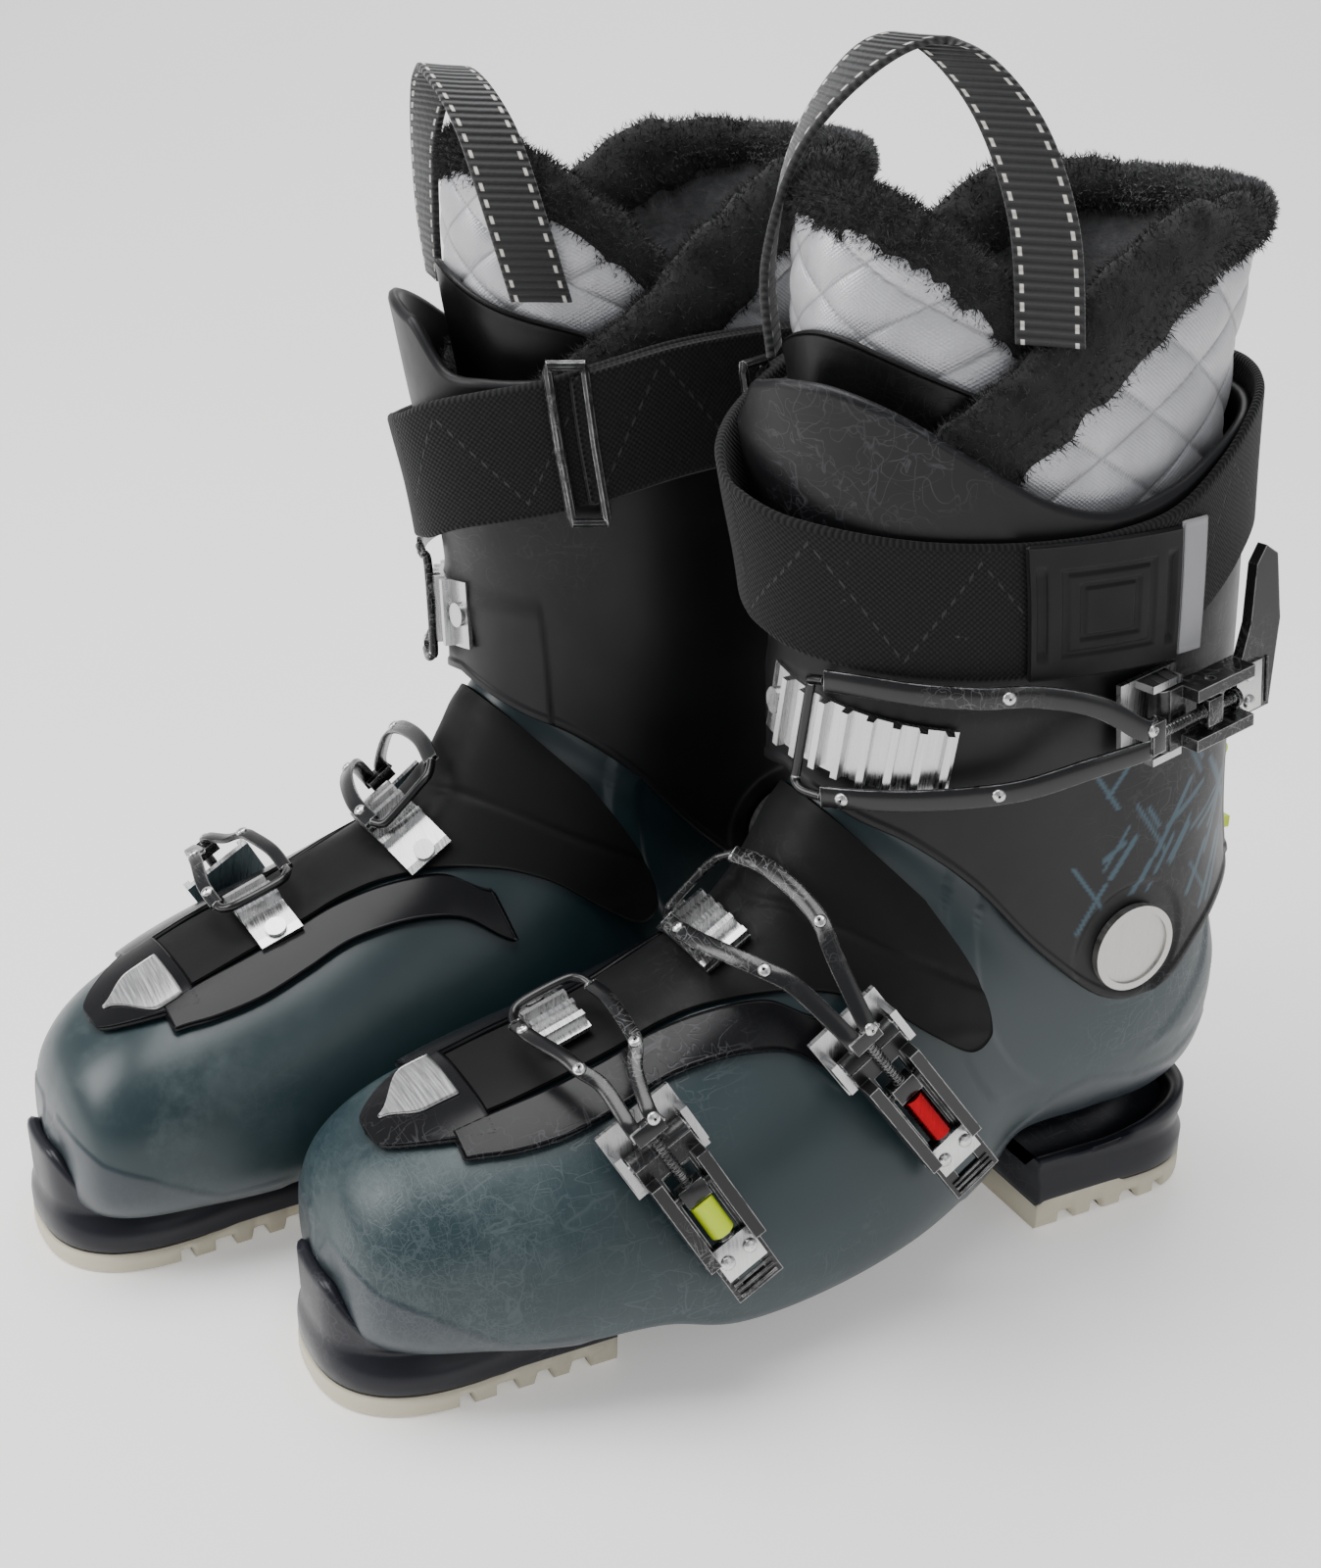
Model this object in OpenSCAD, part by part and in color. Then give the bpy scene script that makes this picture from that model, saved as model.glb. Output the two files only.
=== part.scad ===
// Alpine ski boots, one pair, standing flat on their soles.
// The left boot is modelled along the axes with its toe toward -Y and its outer side toward +X.
// The right boot is its mirror image, turned and moved a little forward beside it.

/* [Shell] */
// Wall thickness of the lower shell
shell_wall = 4.4; // [3.6:0.1:4.8]
// Wall thickness of the cuff
cuff_wall = 3.8; // [3.2:0.1:4]
/* [Hinges] */
// Diameter of the ankle pivot head
pivot_head_d = 29; // [24:1:31]
// Radial play of every turning fit
turn_play = 0.05; // [0.04:0.01:0.08]
/* [Buckles] */
// Height of the rack teeth
tooth_h = 3; // [2.2:0.1:3.2]
// Diameter of the wire bails
wire_d = 3; // [2.6:0.1:3.2]
/* [Strap] */
// Thickness of the power strap
strap_t = 3; // [2:0.1:3.4]
// Height of the power strap
strap_h = 42; // [40:1:50]
/* [Parts] */
// Which node to draw

/* [Hidden] */
// Spacing of the pair: the right boot relative to the left one
right_shift = [-113, -58, 0];
right_yaw = 4.4;
// Shift that centres the pair over the origin
centre = [57.28, 21.86, 0];

// Ankle pivot axis, along X
piv = [0, 96.5, 113.5];

// Lower shell: one row per station from toe to collar
// bottom y, bottom z, top y, top z, centre x, half width low, middle, high, fullness
clog_rows = [
    [-151.5, 30, -152.5, 48, -2, 10, 12, 10, 2.4],
    [-150.2, 23.5, -150.5, 59, -3, 24, 26, 20, 2.6],
    [-146, 20.5, -145.5, 68, -3, 34, 37, 27, 2.7],
    [-136, 19.6, -136, 76, -2, 42, 45.5, 32, 2.9],
    [-120, 19.4, -121, 83.5, -0.5, 48, 53, 35, 3],
    [-96, 19.3, -98, 91.5, 2, 56, 59, 36, 3],
    [-66, 19.2, -69, 100.5, 3.5, 59, 62, 35, 3],
    [-40, 10, -46, 110, 3.5, 59, 63, 32, 3],
    [-5, 8.5, -24, 121, 3, 57, 61, 29, 2.9],
    [32, 11, -11, 136, 1.5, 53, 60, 27, 2.7],
    [62, 19, -4, 149, 1, 45, 58, 28, 2.6],
    [82, 30.8, 0, 157, 1, 38, 57, 30, 2.5],
    [112, 31.4, 3, 161, 1, 36, 54, 32, 2.5],
    [140, 33.5, 5, 164, 1, 36, 51, 33, 2.5],
    [157, 46, 6.5, 165.5, 1, 36, 50, 34, 2.5],
    [162.5, 72, 7.5, 166, 1, 36, 49, 35, 2.5],
    [157, 98, 8.5, 166.5, 1, 37, 45, 35, 2.4],
    [148.5, 122, 9.5, 167, 1, 37, 43, 35, 2.3],
];
clog_last = len(clog_rows) - 1;
// How much squarer the lower corners are than the upper ones
low_corner = 1.3;
// How far the power strap stands away from the leg in front
strap_bulge = 8;

// Cuff outside: z, front y, back y, outer half width, inner half width, fullness
cuff_rows = [
    [60, 22, 176, 50, 49, 2.3],
    [85, 14, 172, 50, 49, 2.25],
    [110, 8, 166, 49.6, 48.6, 2.2],
    [135, 3, 160, 49.6, 48.6, 2.2],
    [160, 0, 156.5, 50.2, 49.2, 2.2],
    [185, -1, 154, 51.5, 50.5, 2.2],
    [210, -3, 151.5, 53, 51, 2.2],
    [235, -7, 148.5, 54.8, 52, 2.2],
    [260, -13, 145.5, 56.5, 53, 2.2],
    [285, -18, 143, 58, 54, 2.2],
    [310, -23, 141, 59, 55, 2.2],
];

// Liner outside, same columns
liner_rows = [
    [110, 18, 150, 42, 41, 2.2],
    [140, 13, 149, 43, 42, 2.2],
    [170, 9, 148, 44, 43, 2.2],
    [200, 6, 146, 45.5, 44.5, 2.2],
    [235, 0, 142, 47.5, 46.5, 2.2],
    [270, -6, 138, 49.5, 48.5, 2.2],
    [300, -12, 139, 50, 49, 2.2],
    [330, -13, 143, 50, 49, 2.2],
    [360, -9, 147, 49, 48, 2.2],
];

// Height of edges round the leg, one value every 15 degrees from -90 (front)
// through 0 (outer side) to 90 (back) and on round the inner side to 270 (front)
cuff_low = [170, 167, 162, 155.5, 140.5, 114.5, 95, 94, 106, 115, 119, 120, 120,
    120, 119, 115, 106, 94, 95, 114.5, 140.5, 155.5, 162, 167, 170];
cuff_high = [290, 293, 293, 287, 275, 263, 258, 262, 270, 276, 279, 280, 281,
    281, 282, 283, 284, 284, 283, 281, 279, 276, 275, 276, 290];
strap_mid = [242, 237, 234, 232.5, 232, 232, 233, 237, 248, 259, 264, 266, 266,
    266, 266, 267, 268, 269, 269, 267, 262, 256, 252, 248, 242];
liner_low = [188, 187, 184, 178, 170, 161, 153, 146, 141, 139, 139, 139, 139,
    139, 139, 139, 141, 146, 153, 161, 170, 178, 184, 187, 188];
liner_high = [252, 252, 256, 268, 280, 294, 311, 328, 336, 338, 338, 338, 338,
    338, 338, 338, 336, 328, 311, 294, 280, 268, 256, 252, 252];

// ---- general helpers -------------------------------------------------------
function sgn0(v) = v < 0 ? -1 : 1;
function unit(v) = v / max(norm(v), 0.000001);
function cubic(a, b, c, d, f) = 0.5 * ((2 * b) + (c - a) * f + (2 * a - 5 * b + 4 * c - d) * f * f
    + (3 * b - a - 3 * c + d) * f * f * f);
// Smooth value of a table at a fractional row
function along(rows, t) = let(
        n = len(rows) - 1,
        i = min(max(floor(t), 0), n - 1))
    cubic(rows[max(i - 1, 0)], rows[i], rows[i + 1], rows[min(i + 2, n)], t - i);
// Fractional row of a table at which its first column reaches z
function row_at(rows, z, i = 0) = i >= len(rows) - 2 || rows[i + 1][0] > z
    ? i + (z - rows[i][0]) / (rows[i + 1][0] - rows[i][0]) : row_at(rows, z, i + 1);
// Height of an edge at an angle round the leg
function edge(list, a) = along(list, (a + 90) / 15);
// Radius of a rounded square of a given fullness, 1 on its axes
function squircle(a, n) = pow(pow(abs(cos(a)), n) + pow(abs(sin(a)), n), -1 / n);

// Point on the outside of the lower shell: station t, angle a round the section
function clog(t, a) = let(
        r = along(clog_rows, t),
        q = squircle(a, sin(a) < 0 ? low_corner * r[8] : r[8]),
        s = q * sin(a),
        u = (s + 1) / 2,
        w = r[5] * (1 - u) * (1 - u) + 2 * r[6] * u * (1 - u) + r[7] * u * u)
    [r[4] + q * cos(a) * w, r[0] + (r[2] - r[0]) * u, r[1] + (r[3] - r[1]) * u];
function clog_out(t, a, d) = clog(t, a) + d * unit(cross(clog(t + 0.05, a) - clog(t - 0.05, a),
    clog(t, a + 1) - clog(t, a - 1)));

// Point on a leg shape: height z, angle a round the leg
function leg(rows, z, a) = let(
        r = along(rows, row_at(rows, z)),
        q = squircle(a, r[5]),
        w = cos(a) > 0 ? r[3] : r[4])
    [q * cos(a) * w, (r[1] + r[2]) / 2 + q * sin(a) * (r[2] - r[1]) / 2, z];
function leg_out(rows, z, a, d) = leg(rows, z, a) + d * unit(cross(
    leg(rows, z, a + 1) - leg(rows, z, a - 1),
    leg(rows, z + 1, a) - leg(rows, z - 1, a)));

// Solid through a list of closed rings, either closed on itself or capped
module skin(rings, closed) {
    n = len(rings[0]);
    m = len(rings);
    last = closed ? m - 1 : m - 2;
    sides = [for (j = [0:last]) for (i = [0:n - 1]) for (k = [0, 1]) let(
            p = j * n,
            q = ((j + 1) % m) * n,
            e = (i + 1) % n)
        k == 0 ? [p + i, q + i, q + e] : [p + i, q + e, p + e]];
    caps = closed ? [] : [for (z = [0, (m - 1) * n]) for (i = [0:floor(n / 2) - 2]) for (k = [0, 1]) let(
            e = n - 1 - i,
            f = k == 0 ? [z + i, z + i + 1, z + e - 1] : [z + i, z + e - 1, z + e])
        z == 0 ? f : [f[2], f[1], f[0]]];
    polyhedron(points = [for (r = rings) for (p = r) p], faces = concat(sides, caps), convexity = 8);
}

// Ring of a hollow band round the leg, between two offsets
// bulge: how far the band stands away from the leg in front
module leg_ring(rows, low, high, d_in, d_out, steps, count, bulge = 0) {
    lift = [for (i = [0:count - 1]) bulge * exp(-pow((min(i, count - i) * 360 / count) / 22, 2))];
    outer = [for (j = [0:steps]) [for (i = [0:count - 1]) let(a = -90 + 360 * i / count)
        leg_out(rows, low[i] + (high[i] - low[i]) * j / steps, a, d_out + lift[i])]];
    inner = [for (j = [0:steps]) [for (i = [0:count - 1]) let(a = -90 + 360 * i / count)
        leg_out(rows, low[i] + (high[i] - low[i]) * (1 - j / steps), a, d_in + lift[i])]];
    skin(concat(outer, inner), true);
}

// Curved slab on the leg from angle a0 to a1
module leg_slab(rows, low, high, d_in, d_out, a0, a1, steps, count) {
    rings = [for (i = [0:count]) let(a = a0 + (a1 - a0) * i / count)
        concat([for (j = [0:steps]) leg_out(rows, low[i] + (high[i] - low[i]) * j / steps, a, d_out)],
            [for (j = [0:steps]) leg_out(rows, low[i] + (high[i] - low[i]) * (1 - j / steps), a, d_in)])];
    skin([for (i = [0:count]) rings[count - i]], false);
}

// Curved slab on the lower shell: a0 and a1 are lists, one value per station step
module clog_slab(t0, t1, a0, a1, d_in, d_out, steps) {
    m = len(a0) - 1;
    rings = [for (j = [0:m]) let(t = t0 + (t1 - t0) * j / m)
        concat([for (i = [0:steps]) clog_out(t, a0[j] + (a1[j] - a0[j]) * i / steps, d_out)],
            [for (i = [0:steps]) clog_out(t, a1[j] + (a0[j] - a1[j]) * i / steps, d_in)])];
    skin(rings, false);
}

// ---- lower body ------------------------------------------------------------
shell_points = 28;
function ring_at(t, d) = [for (i = [0:shell_points - 1]) clog_out(t, -90 + 360 * (i + 0.5) / shell_points, d)];

module lower_shell() {
    color([0.08, 0.2, 0.22])
    difference() {
        skin(concat([for (t = [0:0.75:clog_last]) ring_at(t, 0)], [ring_at(clog_last, 0)],
            [ring_at(clog_last, -shell_wall)],
            [for (t = [clog_last - 1:-1:1.4]) ring_at(t, -shell_wall)],
            [ring_at(1.2, -shell_wall)]), false);
        translate([-60, piv[1], piv[2]])
        rotate([0, 90, 0])
        cylinder(h = 120, d = 12, $fn = 48);
    }
}

// Angles of the overlay edge on the outer side, one per step along the boot
overlay_edge = [62, 61, 61, 61, 60, 57, 51, 44, 36, 28, 18, 4, -8, -6, 10, 31];
overlay_t0 = 4.4;
overlay_t1 = 12.4;
module instep_overlay() {
    color([0.05, 0.05, 0.055])
    clog_slab(overlay_t0, overlay_t1, [for (a = overlay_edge) a + 4], [for (a = overlay_edge) 176 - a],
        0.8, 2, 18);
}

// Trim band on the forefoot: angles of its lower and upper edge, one per step along it
trim_low = [50, 46, 44, 45, 46, 44, 40, 33, 20];
trim_high = [62, 62, 61, 61, 61, 58, 53, 46, 34];
module toe_trim() {
    m = 12;
    low = [for (j = [0:m]) along(trim_low, 8 * j / m)];
    high = [for (j = [0:m]) along(trim_high, 8 * j / m)];
    color([0.02, 0.02, 0.025])
    union() {
        clog_slab(2.9, 4.25, [66, 58, 54, 52], [114, 122, 126, 128], 0.6, 2.8, 8);
        clog_slab(4.2, 8.6, low, high, 0.6, 2.8, 3);
        clog_slab(4.2, 8.6, [for (a = high) 180 - a], [for (a = low) 180 - a], 0.6, 2.8, 3);
    }
}

module toe_badge() {
    color([0.75, 0.75, 0.75])
    clog_slab(3.2, 4.15, [86, 78, 72, 72], [94, 102, 108, 108], 2.95, 3.8, 4);
}

// Outline of the sole block: half width w, from y0 to y1, round at the toe or heel end
function sole_outline(w, y0, y1, round_r) = concat(
    [for (a = [0:10:90]) [w - round_r + round_r * cos(a), y1 - round_r + round_r * sin(a)]],
    [for (a = [90:10:180]) [-w + round_r + round_r * cos(a), y1 - round_r + round_r * sin(a)]],
    [[-w, y0], [w, y0]]);
module toe_outline(grow) {
    mirror([0, 1, 0])
    polygon(sole_outline(34.5 + grow, 72, 158.5 + grow, 32));
}
module heel_outline(grow) {
    polygon(sole_outline(35 + grow, 84, 159.5 + grow, 28));
}
screw_spots = [[16, -128, 0], [-16, -128, 0], [18, -90, 0], [-18, -90, 0],
    [18, 98, 1], [-18, 98, 1], [16, 132, 1], [-16, 132, 1]];
module screw_holes(d, z0, z1, kind) {
    for (s = screw_spots)
        if (s[2] == kind)
            translate([s[0], s[1], z0])
            cylinder(h = z1 - z0, d = d, $fn = 24);
}
module sole_lugs() {
    color([0.09, 0.09, 0.11])
    union() {
        difference() {
            translate([0, 0, 7])
            linear_extrude(height = 11.5)
            toe_outline(0);
            screw_holes(4, 2, 30, 0);
        }
        difference() {
            translate([0, 0, 9])
            linear_extrude(height = 21)
            heel_outline(0);
            screw_holes(4, 2, 40, 1);
        }
    }
}
module sole_treads() {
    color([0.8, 0.78, 0.7])
    union() {
        difference() {
            linear_extrude(height = 6.95)
            toe_outline(0);
            screw_holes(9, -1, 20, 0);
            for (y = [-142, -127, -112, -97, -82])
                for (s = [-1, 1])
                    translate([s * 26 - 10, y - 2.5, -1])
                    cube([20, 5, 4]);
        }
        difference() {
            linear_extrude(height = 8.95)
            heel_outline(0);
            screw_holes(9, -1, 20, 1);
            for (y = [96, 112, 128, 142])
                for (s = [-1, 1])
                    translate([s * 26 - 10, y - 2.5, -1])
                    cube([20, 5, 4]);
        }
    }
}
module sole_screws() {
    color([0.6, 0.6, 0.62])
    for (s = screw_spots)
        translate([s[0], s[1], s[2] == 0 ? 4.4 : 6.4])
        union() {
            cylinder(h = 2.5, d = 8, $fn = 32);
            cylinder(h = 12, d = 3.9, $fn = 24);
        }
}

// Board under the liner, following the inside of the sole
module boot_board() {
    color([0.25, 0.25, 0.27])
    clog_slab(2.2, 12.4, [for (j = [0:12]) -124], [for (j = [0:12]) -56],
        -shell_wall - 4.6, -shell_wall - 2.5, 6);
}

// Liner section: thicker gap under the foot, where the board lies
foot_points = 22;
function foot_ring(t, d) = [for (i = [0:foot_points - 1]) let(
        a = -90 + 360 * (i + 0.5) / foot_points,
        under = max(0, min(1, (-sin(a) - 0.5) * 4)))
    clog_out(t, a, d - 4.4 * under)];
module liner_foot() {
    steps = 13;
    t0 = 2;
    t1 = 16;
    color([0.2, 0.2, 0.21])
    skin(concat([for (j = [0:steps]) foot_ring(t0 + (t1 - t0) * j / steps, -shell_wall - 1.9)],
        [for (j = [0:steps - 1]) foot_ring(t1 - (t1 - 1 - t0) * j / (steps - 1), -shell_wall - 6.5)]), false);
}

module ankle_pivots() {
    color([0.78, 0.78, 0.78])
    for (s = [-1, 1])
        translate([s > 0 ? 0 : -1, piv[1], piv[2]])
        rotate([0, 90 * s, 0])
        union() {
            translate([0, 0, s > 0 ? 50.2 : 48.2])
            cylinder(h = 1.8, d = pivot_head_d, $fn = 64);
            translate([0, 0, s > 0 ? 50.2 : 48.2])
            difference() {
                cylinder(h = 2.6, d = pivot_head_d, $fn = 64);
                translate([0, 0, -1])
                cylinder(h = 5, d = pivot_head_d - 4.5, $fn = 64);
            }
            translate([0, 0, 41])
            cylinder(h = 9.3, d = 11.9, $fn = 48);
        }
}

// ---- buckles ---------------------------------------------------------------
// Each buckle has a frame: X outward from the boot, Y along the lever hinge,
// -Z along the closed lever. A buckle row holds hinge point, tilt about X and tilt about Y.
toe_b = [[54.5, -70, 88.5], 30, -17];
instep_b = [[54, -1, 103], 36, -6];
cuff_b = [[60, 88, 195], 98, 9];
function turn_y(p, b) = [p[0] * cos(b) + p[2] * sin(b), p[1], -p[0] * sin(b) + p[2] * cos(b)];
function turn_x(p, a) = [p[0], p[1] * cos(a) - p[2] * sin(a), p[1] * sin(a) + p[2] * cos(a)];
function at(b, p) = b[0] + turn_x(turn_y(p, b[2]), b[1]);
module place(b) {
    translate(b[0])
    rotate([b[1], 0, 0])
    rotate([0, b[2], 0])
    children();
}
// Round bar through a list of points. side is a direction the bar never runs along.
module bar(points, d, side, closed) {
    n = len(points);
    skin([for (i = [0:n - 1]) let(
            p = points[closed ? (i + n - 1) % n : max(i - 1, 0)],
            q = points[closed ? (i + 1) % n : min(i + 1, n - 1)],
            f = unit(q - p),
            u = unit(cross(f, side)),
            v = cross(f, u))
        [for (a = [0:45:315]) points[i] + d / 2 * (cos(a) * u + sin(a) * v)]], closed);
}

// Base plate with two cheeks and the lever pin
cheek_y = 10.4;
module base() {
    union() {
        translate([-5.7, -13, -11])
        cube([1.8, 26, 23]);
        for (s = [-1, 1])
            difference() {
                translate([-4.5, s * 11.7 - 1.2, -6])
                cube([7.5, 2.4, 12]);
                translate([3.2, s * 11.7 - 2, 4])
                rotate([0, 45, 0])
                cube([4, 4, 4]);
            }
        rotate([90, 0, 0])
        translate([0, 0, -12])
        cylinder(h = 24, d = 3, $fn = 32);
    }
}
// Lever: hinge boss, two rails round a long window, and a tail
link = [6.5, 0, -14];
module lever(size, tail_w) {
    difference() {
        union() {
            rotate([90, 0, 0])
            translate([0, 0, -9.9])
            cylinder(h = 19.8, d = 7, $fn = 40);
            translate([0, -9.9, -13])
            cube([4, 19.8, 13]);
            translate([0.6, -9.9, -size * 0.72])
            cube([3.4, 19.8, size * 0.72]);
            for (s = [-1, 1])
                translate([0.6, s * 8 - 1.9, -size * 0.7])
                cube([9.4, 3.8, size * 0.7 - 5]);
            translate([1.6, -tail_w / 2, -size])
            cube([3.4, tail_w, size * 0.32]);
        }
        translate([-6, -4.9, -size * 0.66])
        cube([30, 9.8, size * 0.66 - 6.5]);
        rotate([90, 0, 0])
        translate([0, 0, -20])
        cylinder(h = 40, d = 3 + 2 * turn_play, $fn = 32);
        translate(link)
        rotate([90, 0, 0])
        translate([0, 0, -20])
        cylinder(h = 40, d = 3 + 2 * turn_play, $fn = 32);
        translate([-3, -4, -size * 0.93])
        cube([20, 8, size * 0.16]);
    }
}
// Link bar, cross pin and the rod that carries the adjuster
module link_rod(b, size) {
    place(b)
    union() {
        translate(link)
        rotate([90, 0, 0])
        translate([0, 0, -9.8])
        cylinder(h = 19.6, d = 3, $fn = 32);
        translate([link[0], 0, -size * 0.6])
        cylinder(h = size * 0.6 + 8, d = 3.6, $fn = 32);
        translate([link[0], 0, -size * 0.6])
        cylinder(h = 1.6, d = 6, $fn = 32);
        translate([link[0] - 2.4, -4.2, -17])
        cube([4.8, 8.4, 6]);
        translate([link[0] - 2.2, -5, 7])
        cube([4.4, 10, 5]);
    }
}
module adjuster(b, size) {
    place(b)
    translate([link[0], 0, -size * 0.6 + 1.9])
    difference() {
        cylinder(h = size * 0.6 - 19.4, d = 7.6, $fn = 40);
        translate([0, 0, -1])
        cylinder(h = size, d = 3.6 + 2 * turn_play, $fn = 32);
    }
}

// Rack: curved plate with saw teeth. Row: place, tilt about X, yaw, radius, teeth,
// pitch, plate angle on the inner side, on the outer side, length along the teeth
toe_rack = [[1, -78, 102.9], 19, 0, 44, 3, 6, -26, 14, 15];
instep_rack = [[2, -29, 123.4], 33, 0, 38, 5, 6, -38, 22, 17];
module rack(k) {
    r = k[3];
    pts = concat(
        [for (a = [k[6]:4:k[7]]) [r * sin(a), r * cos(a) - r]],
        [[(r + 1.6) * sin(k[7]), (r + 1.6) * cos(k[7]) - r]],
        [for (i = [k[4] - 1:-1:0]) for (c = [[2.4, 0], [2.2, 1], [0.2, 1], [-0.2, 0]]) let(
                a = ((i - (k[4] - 1) / 2) * k[5] + c[0]) * 57.3 / r,
                q = r + 1.6 + c[1] * tooth_h)
            [q * sin(a), q * cos(a) - r]],
        [[(r + 1.6) * sin(k[6] + 4), (r + 1.6) * cos(k[6] + 4) - r],
            [(r + 1.6) * sin(k[6]), (r + 1.6) * cos(k[6]) - r]]);
    difference() {
        rack_place(k)
        rotate([90, 0, 0])
        linear_extrude(height = k[8], center = true)
        polygon(pts);
        rack_place(k)
        rivet_place(k)
        translate([0, 0, -3])
        cylinder(h = 8, d = 3.2, $fn = 24);
    }
}
module rack_place(k) {
    translate(k[0])
    rotate([k[1], 0, k[2]])
    children();
}
module rivet_place(k) {
    translate([0, 0, -k[3]])
    rotate([0, k[6] + 5.5, 0])
    translate([0, 0, k[3]])
    children();
}
module rivet() {
    union() {
        translate([0, 0, 0.2])
        cylinder(h = 2, d = 3.1, $fn = 24);
        translate([0, 0, 1.75])
        cylinder(h = 1.1, d = 7, $fn = 32);
    }
}

module lower_racks() {
    color([0.7, 0.7, 0.7])
    union() {
        rack(toe_rack);
        rack(instep_rack);
    }
}
module lower_rivets() {
    color([0.8, 0.8, 0.8])
    union() {
        rack_place(toe_rack)
        rivet_place(toe_rack)
        rivet();
        rack_place(instep_rack)
        rivet_place(instep_rack)
        rivet();
    }
}
module lower_buckle_bases() {
    color([0.65, 0.65, 0.65])
    union() {
        place(toe_b)
        base();
        place(instep_b)
        base();
    }
}
module toe_lever() {
    color([0.06, 0.06, 0.06])
    place(toe_b)
    lever(52, 16);
}
module instep_lever() {
    color([0.06, 0.06, 0.06])
    place(instep_b)
    lever(62, 17);
}
module cuff_lever() {
    color([0.06, 0.06, 0.06])
    place(cuff_b)
    union() {
        lever(42, 18);
        translate([1.6, 0, 0])
        rotate([90, 0, 90])
        linear_extrude(height = 3.4)
        polygon([[-8.9, -29], [8.9, -29], [20, -33], [38, -35], [43, -39], [39, -44], [18, -46], [-8.9, -41.9]]);
    }
}

// Bails: a link rod and a wire loop over the rack, its two ends held in the block
module toe_bail() {
    color([0.1, 0.1, 0.1])
    union() {
        link_rod(toe_b, 52);
        bar([at(toe_b, [link[0], 3, 9]), at(toe_b, [link[0], 3.4, 16]), [43, -72, 108], [36, -68.5, 112],
            [28, -67.5, 113.5], [14, -66.5, 114.5], [2, -66.5, 113], [-2, -68, 113.5], [-5, -72, 112.5],
            [-5, -86, 108], [-2, -90, 106], [2, -91, 105.5], [14, -91, 107.5], [28, -88, 108.5],
            [36, -86, 107.5], [43, -82, 105], at(toe_b, [link[0], -3.4, 16]), at(toe_b, [link[0], -3, 9])],
            wire_d, [0.55, -0.55, -0.63], false);
    }
}
module instep_bail() {
    color([0.1, 0.1, 0.1])
    union() {
        link_rod(instep_b, 62);
        bar([at(instep_b, [link[0], 3, 9]), at(instep_b, [link[0], 3.4, 17]), [46, -10, 132], [38, -10, 139],
            [26, -11, 143], [10, -13, 145], [-4, -16, 143.5], [-8, -19, 141], [-9, -23, 138],
            [-9, -33, 129], [-8, -36, 126.5], [-4, -38, 126], [10, -38, 127], [26, -34, 128],
            [38, -28, 127], [46, -22, 124], at(instep_b, [link[0], -3.4, 17]), at(instep_b, [link[0], -3, 9])],
            wire_d, [0.7, -0.3, -0.65], false);
    }
}
module toe_adjuster() {
    color([0.7, 0.85, 0.05])
    adjuster(toe_b, 52);
}
module instep_adjuster() {
    color([0.6, 0.03, 0.06])
    adjuster(instep_b, 62);
}

// ---- cuff body -------------------------------------------------------------
cuff_count = 40;
function ring_edge(list, count) = [for (i = [0:count - 1]) edge(list, -90 + 360 * i / count)];
module cuff_shell() {
    color([0.05, 0.05, 0.055])
    difference() {
        union() {
            leg_ring(cuff_rows, ring_edge(cuff_low, cuff_count), ring_edge(cuff_high, cuff_count),
                -cuff_wall, 0, 8, cuff_count);
            for (s = [-1, 1])
                translate([s * 9 - 2, 156.3, 146])
                cube([4, 11, 10]);
            translate([-10, 164, 151])
            rotate([0, 90, 0])
            cylinder(h = 20, d = 3, $fn = 24);
        }
        for (s = [-1, 1])
            translate([s > 0 ? 30 : -60, piv[1], piv[2]])
            rotate([0, 90, 0])
            cylinder(h = 30, d = 11.9 + 2 * turn_play, $fn = 48);
        translate([-17, -3, 198])
        rotate([90, 0, -12])
        cylinder(h = 30, d = 5, center = true, $fn = 32);
    }
}
module walk_lever() {
    color([0.65, 0.8, 0.05])
    translate([0, 164, 151])
    difference() {
        union() {
            rotate([0, 90, 0])
            translate([0, 0, -6.7])
            cylinder(h = 13.4, d = 6.2, $fn = 32);
            translate([-6.7, -0.5, -30])
            cube([13.4, 3.2, 30]);
            translate([-6.7, -0.5, -30])
            cube([13.4, 9, 4]);
        }
        rotate([0, 90, 0])
        translate([0, 0, -20])
        cylinder(h = 40, d = 3 + 2 * turn_play, $fn = 24);
        translate([-4, -5, -26])
        cube([8, 20, 20]);
    }
}

module cuff_rack_place() {
    translate([25.75, 5.2, 188])
    rotate([94, 8, 34])
    children();
}
module cuff_rack() {
    color([0.7, 0.7, 0.7])
    cuff_rack_place()
    union() {
        rack(cuff_rack_plain);
        rivet_place(cuff_rack_plain)
        cylinder(h = 3.2, d = 8, $fn = 32);
    }
}
cuff_rack_plain = [[0, 0, 0], 0, 0, 46.3, 8, 7.2, -43, 36, 22];
module cuff_buckle_base() {
    color([0.65, 0.65, 0.65])
    place(cuff_b)
    base();
}
module cuff_bail() {
    color([0.06, 0.06, 0.06])
    union() {
        link_rod(cuff_b, 42);
        bar([at(cuff_b, [link[0], 3, 9]), at(cuff_b, [link[0], 3.4, 15]), [65.5, 60, 205], [58.5, 44, 208],
            [52.9, 28, 208], [44, 13, 208.5], [34, 2, 209], [24.5, -5, 208.5], [19.5, -6.2, 207.2], [17.6, -5.4, 204],
            [13.4, -5.9, 177], [13.6, -6.4, 173.8], [17, -6, 171.8], [24, -3.5, 172], [33.5, 3.5, 173.5],
            [43, 15, 175], [51.5, 29, 177], [58, 44, 179.5], [65.5, 60, 186], at(cuff_b, [link[0], -3.4, 15]),
            at(cuff_b, [link[0], -3, 9])], wire_d, [0.85, -0.5, 0.03], false);
    }
}

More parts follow.
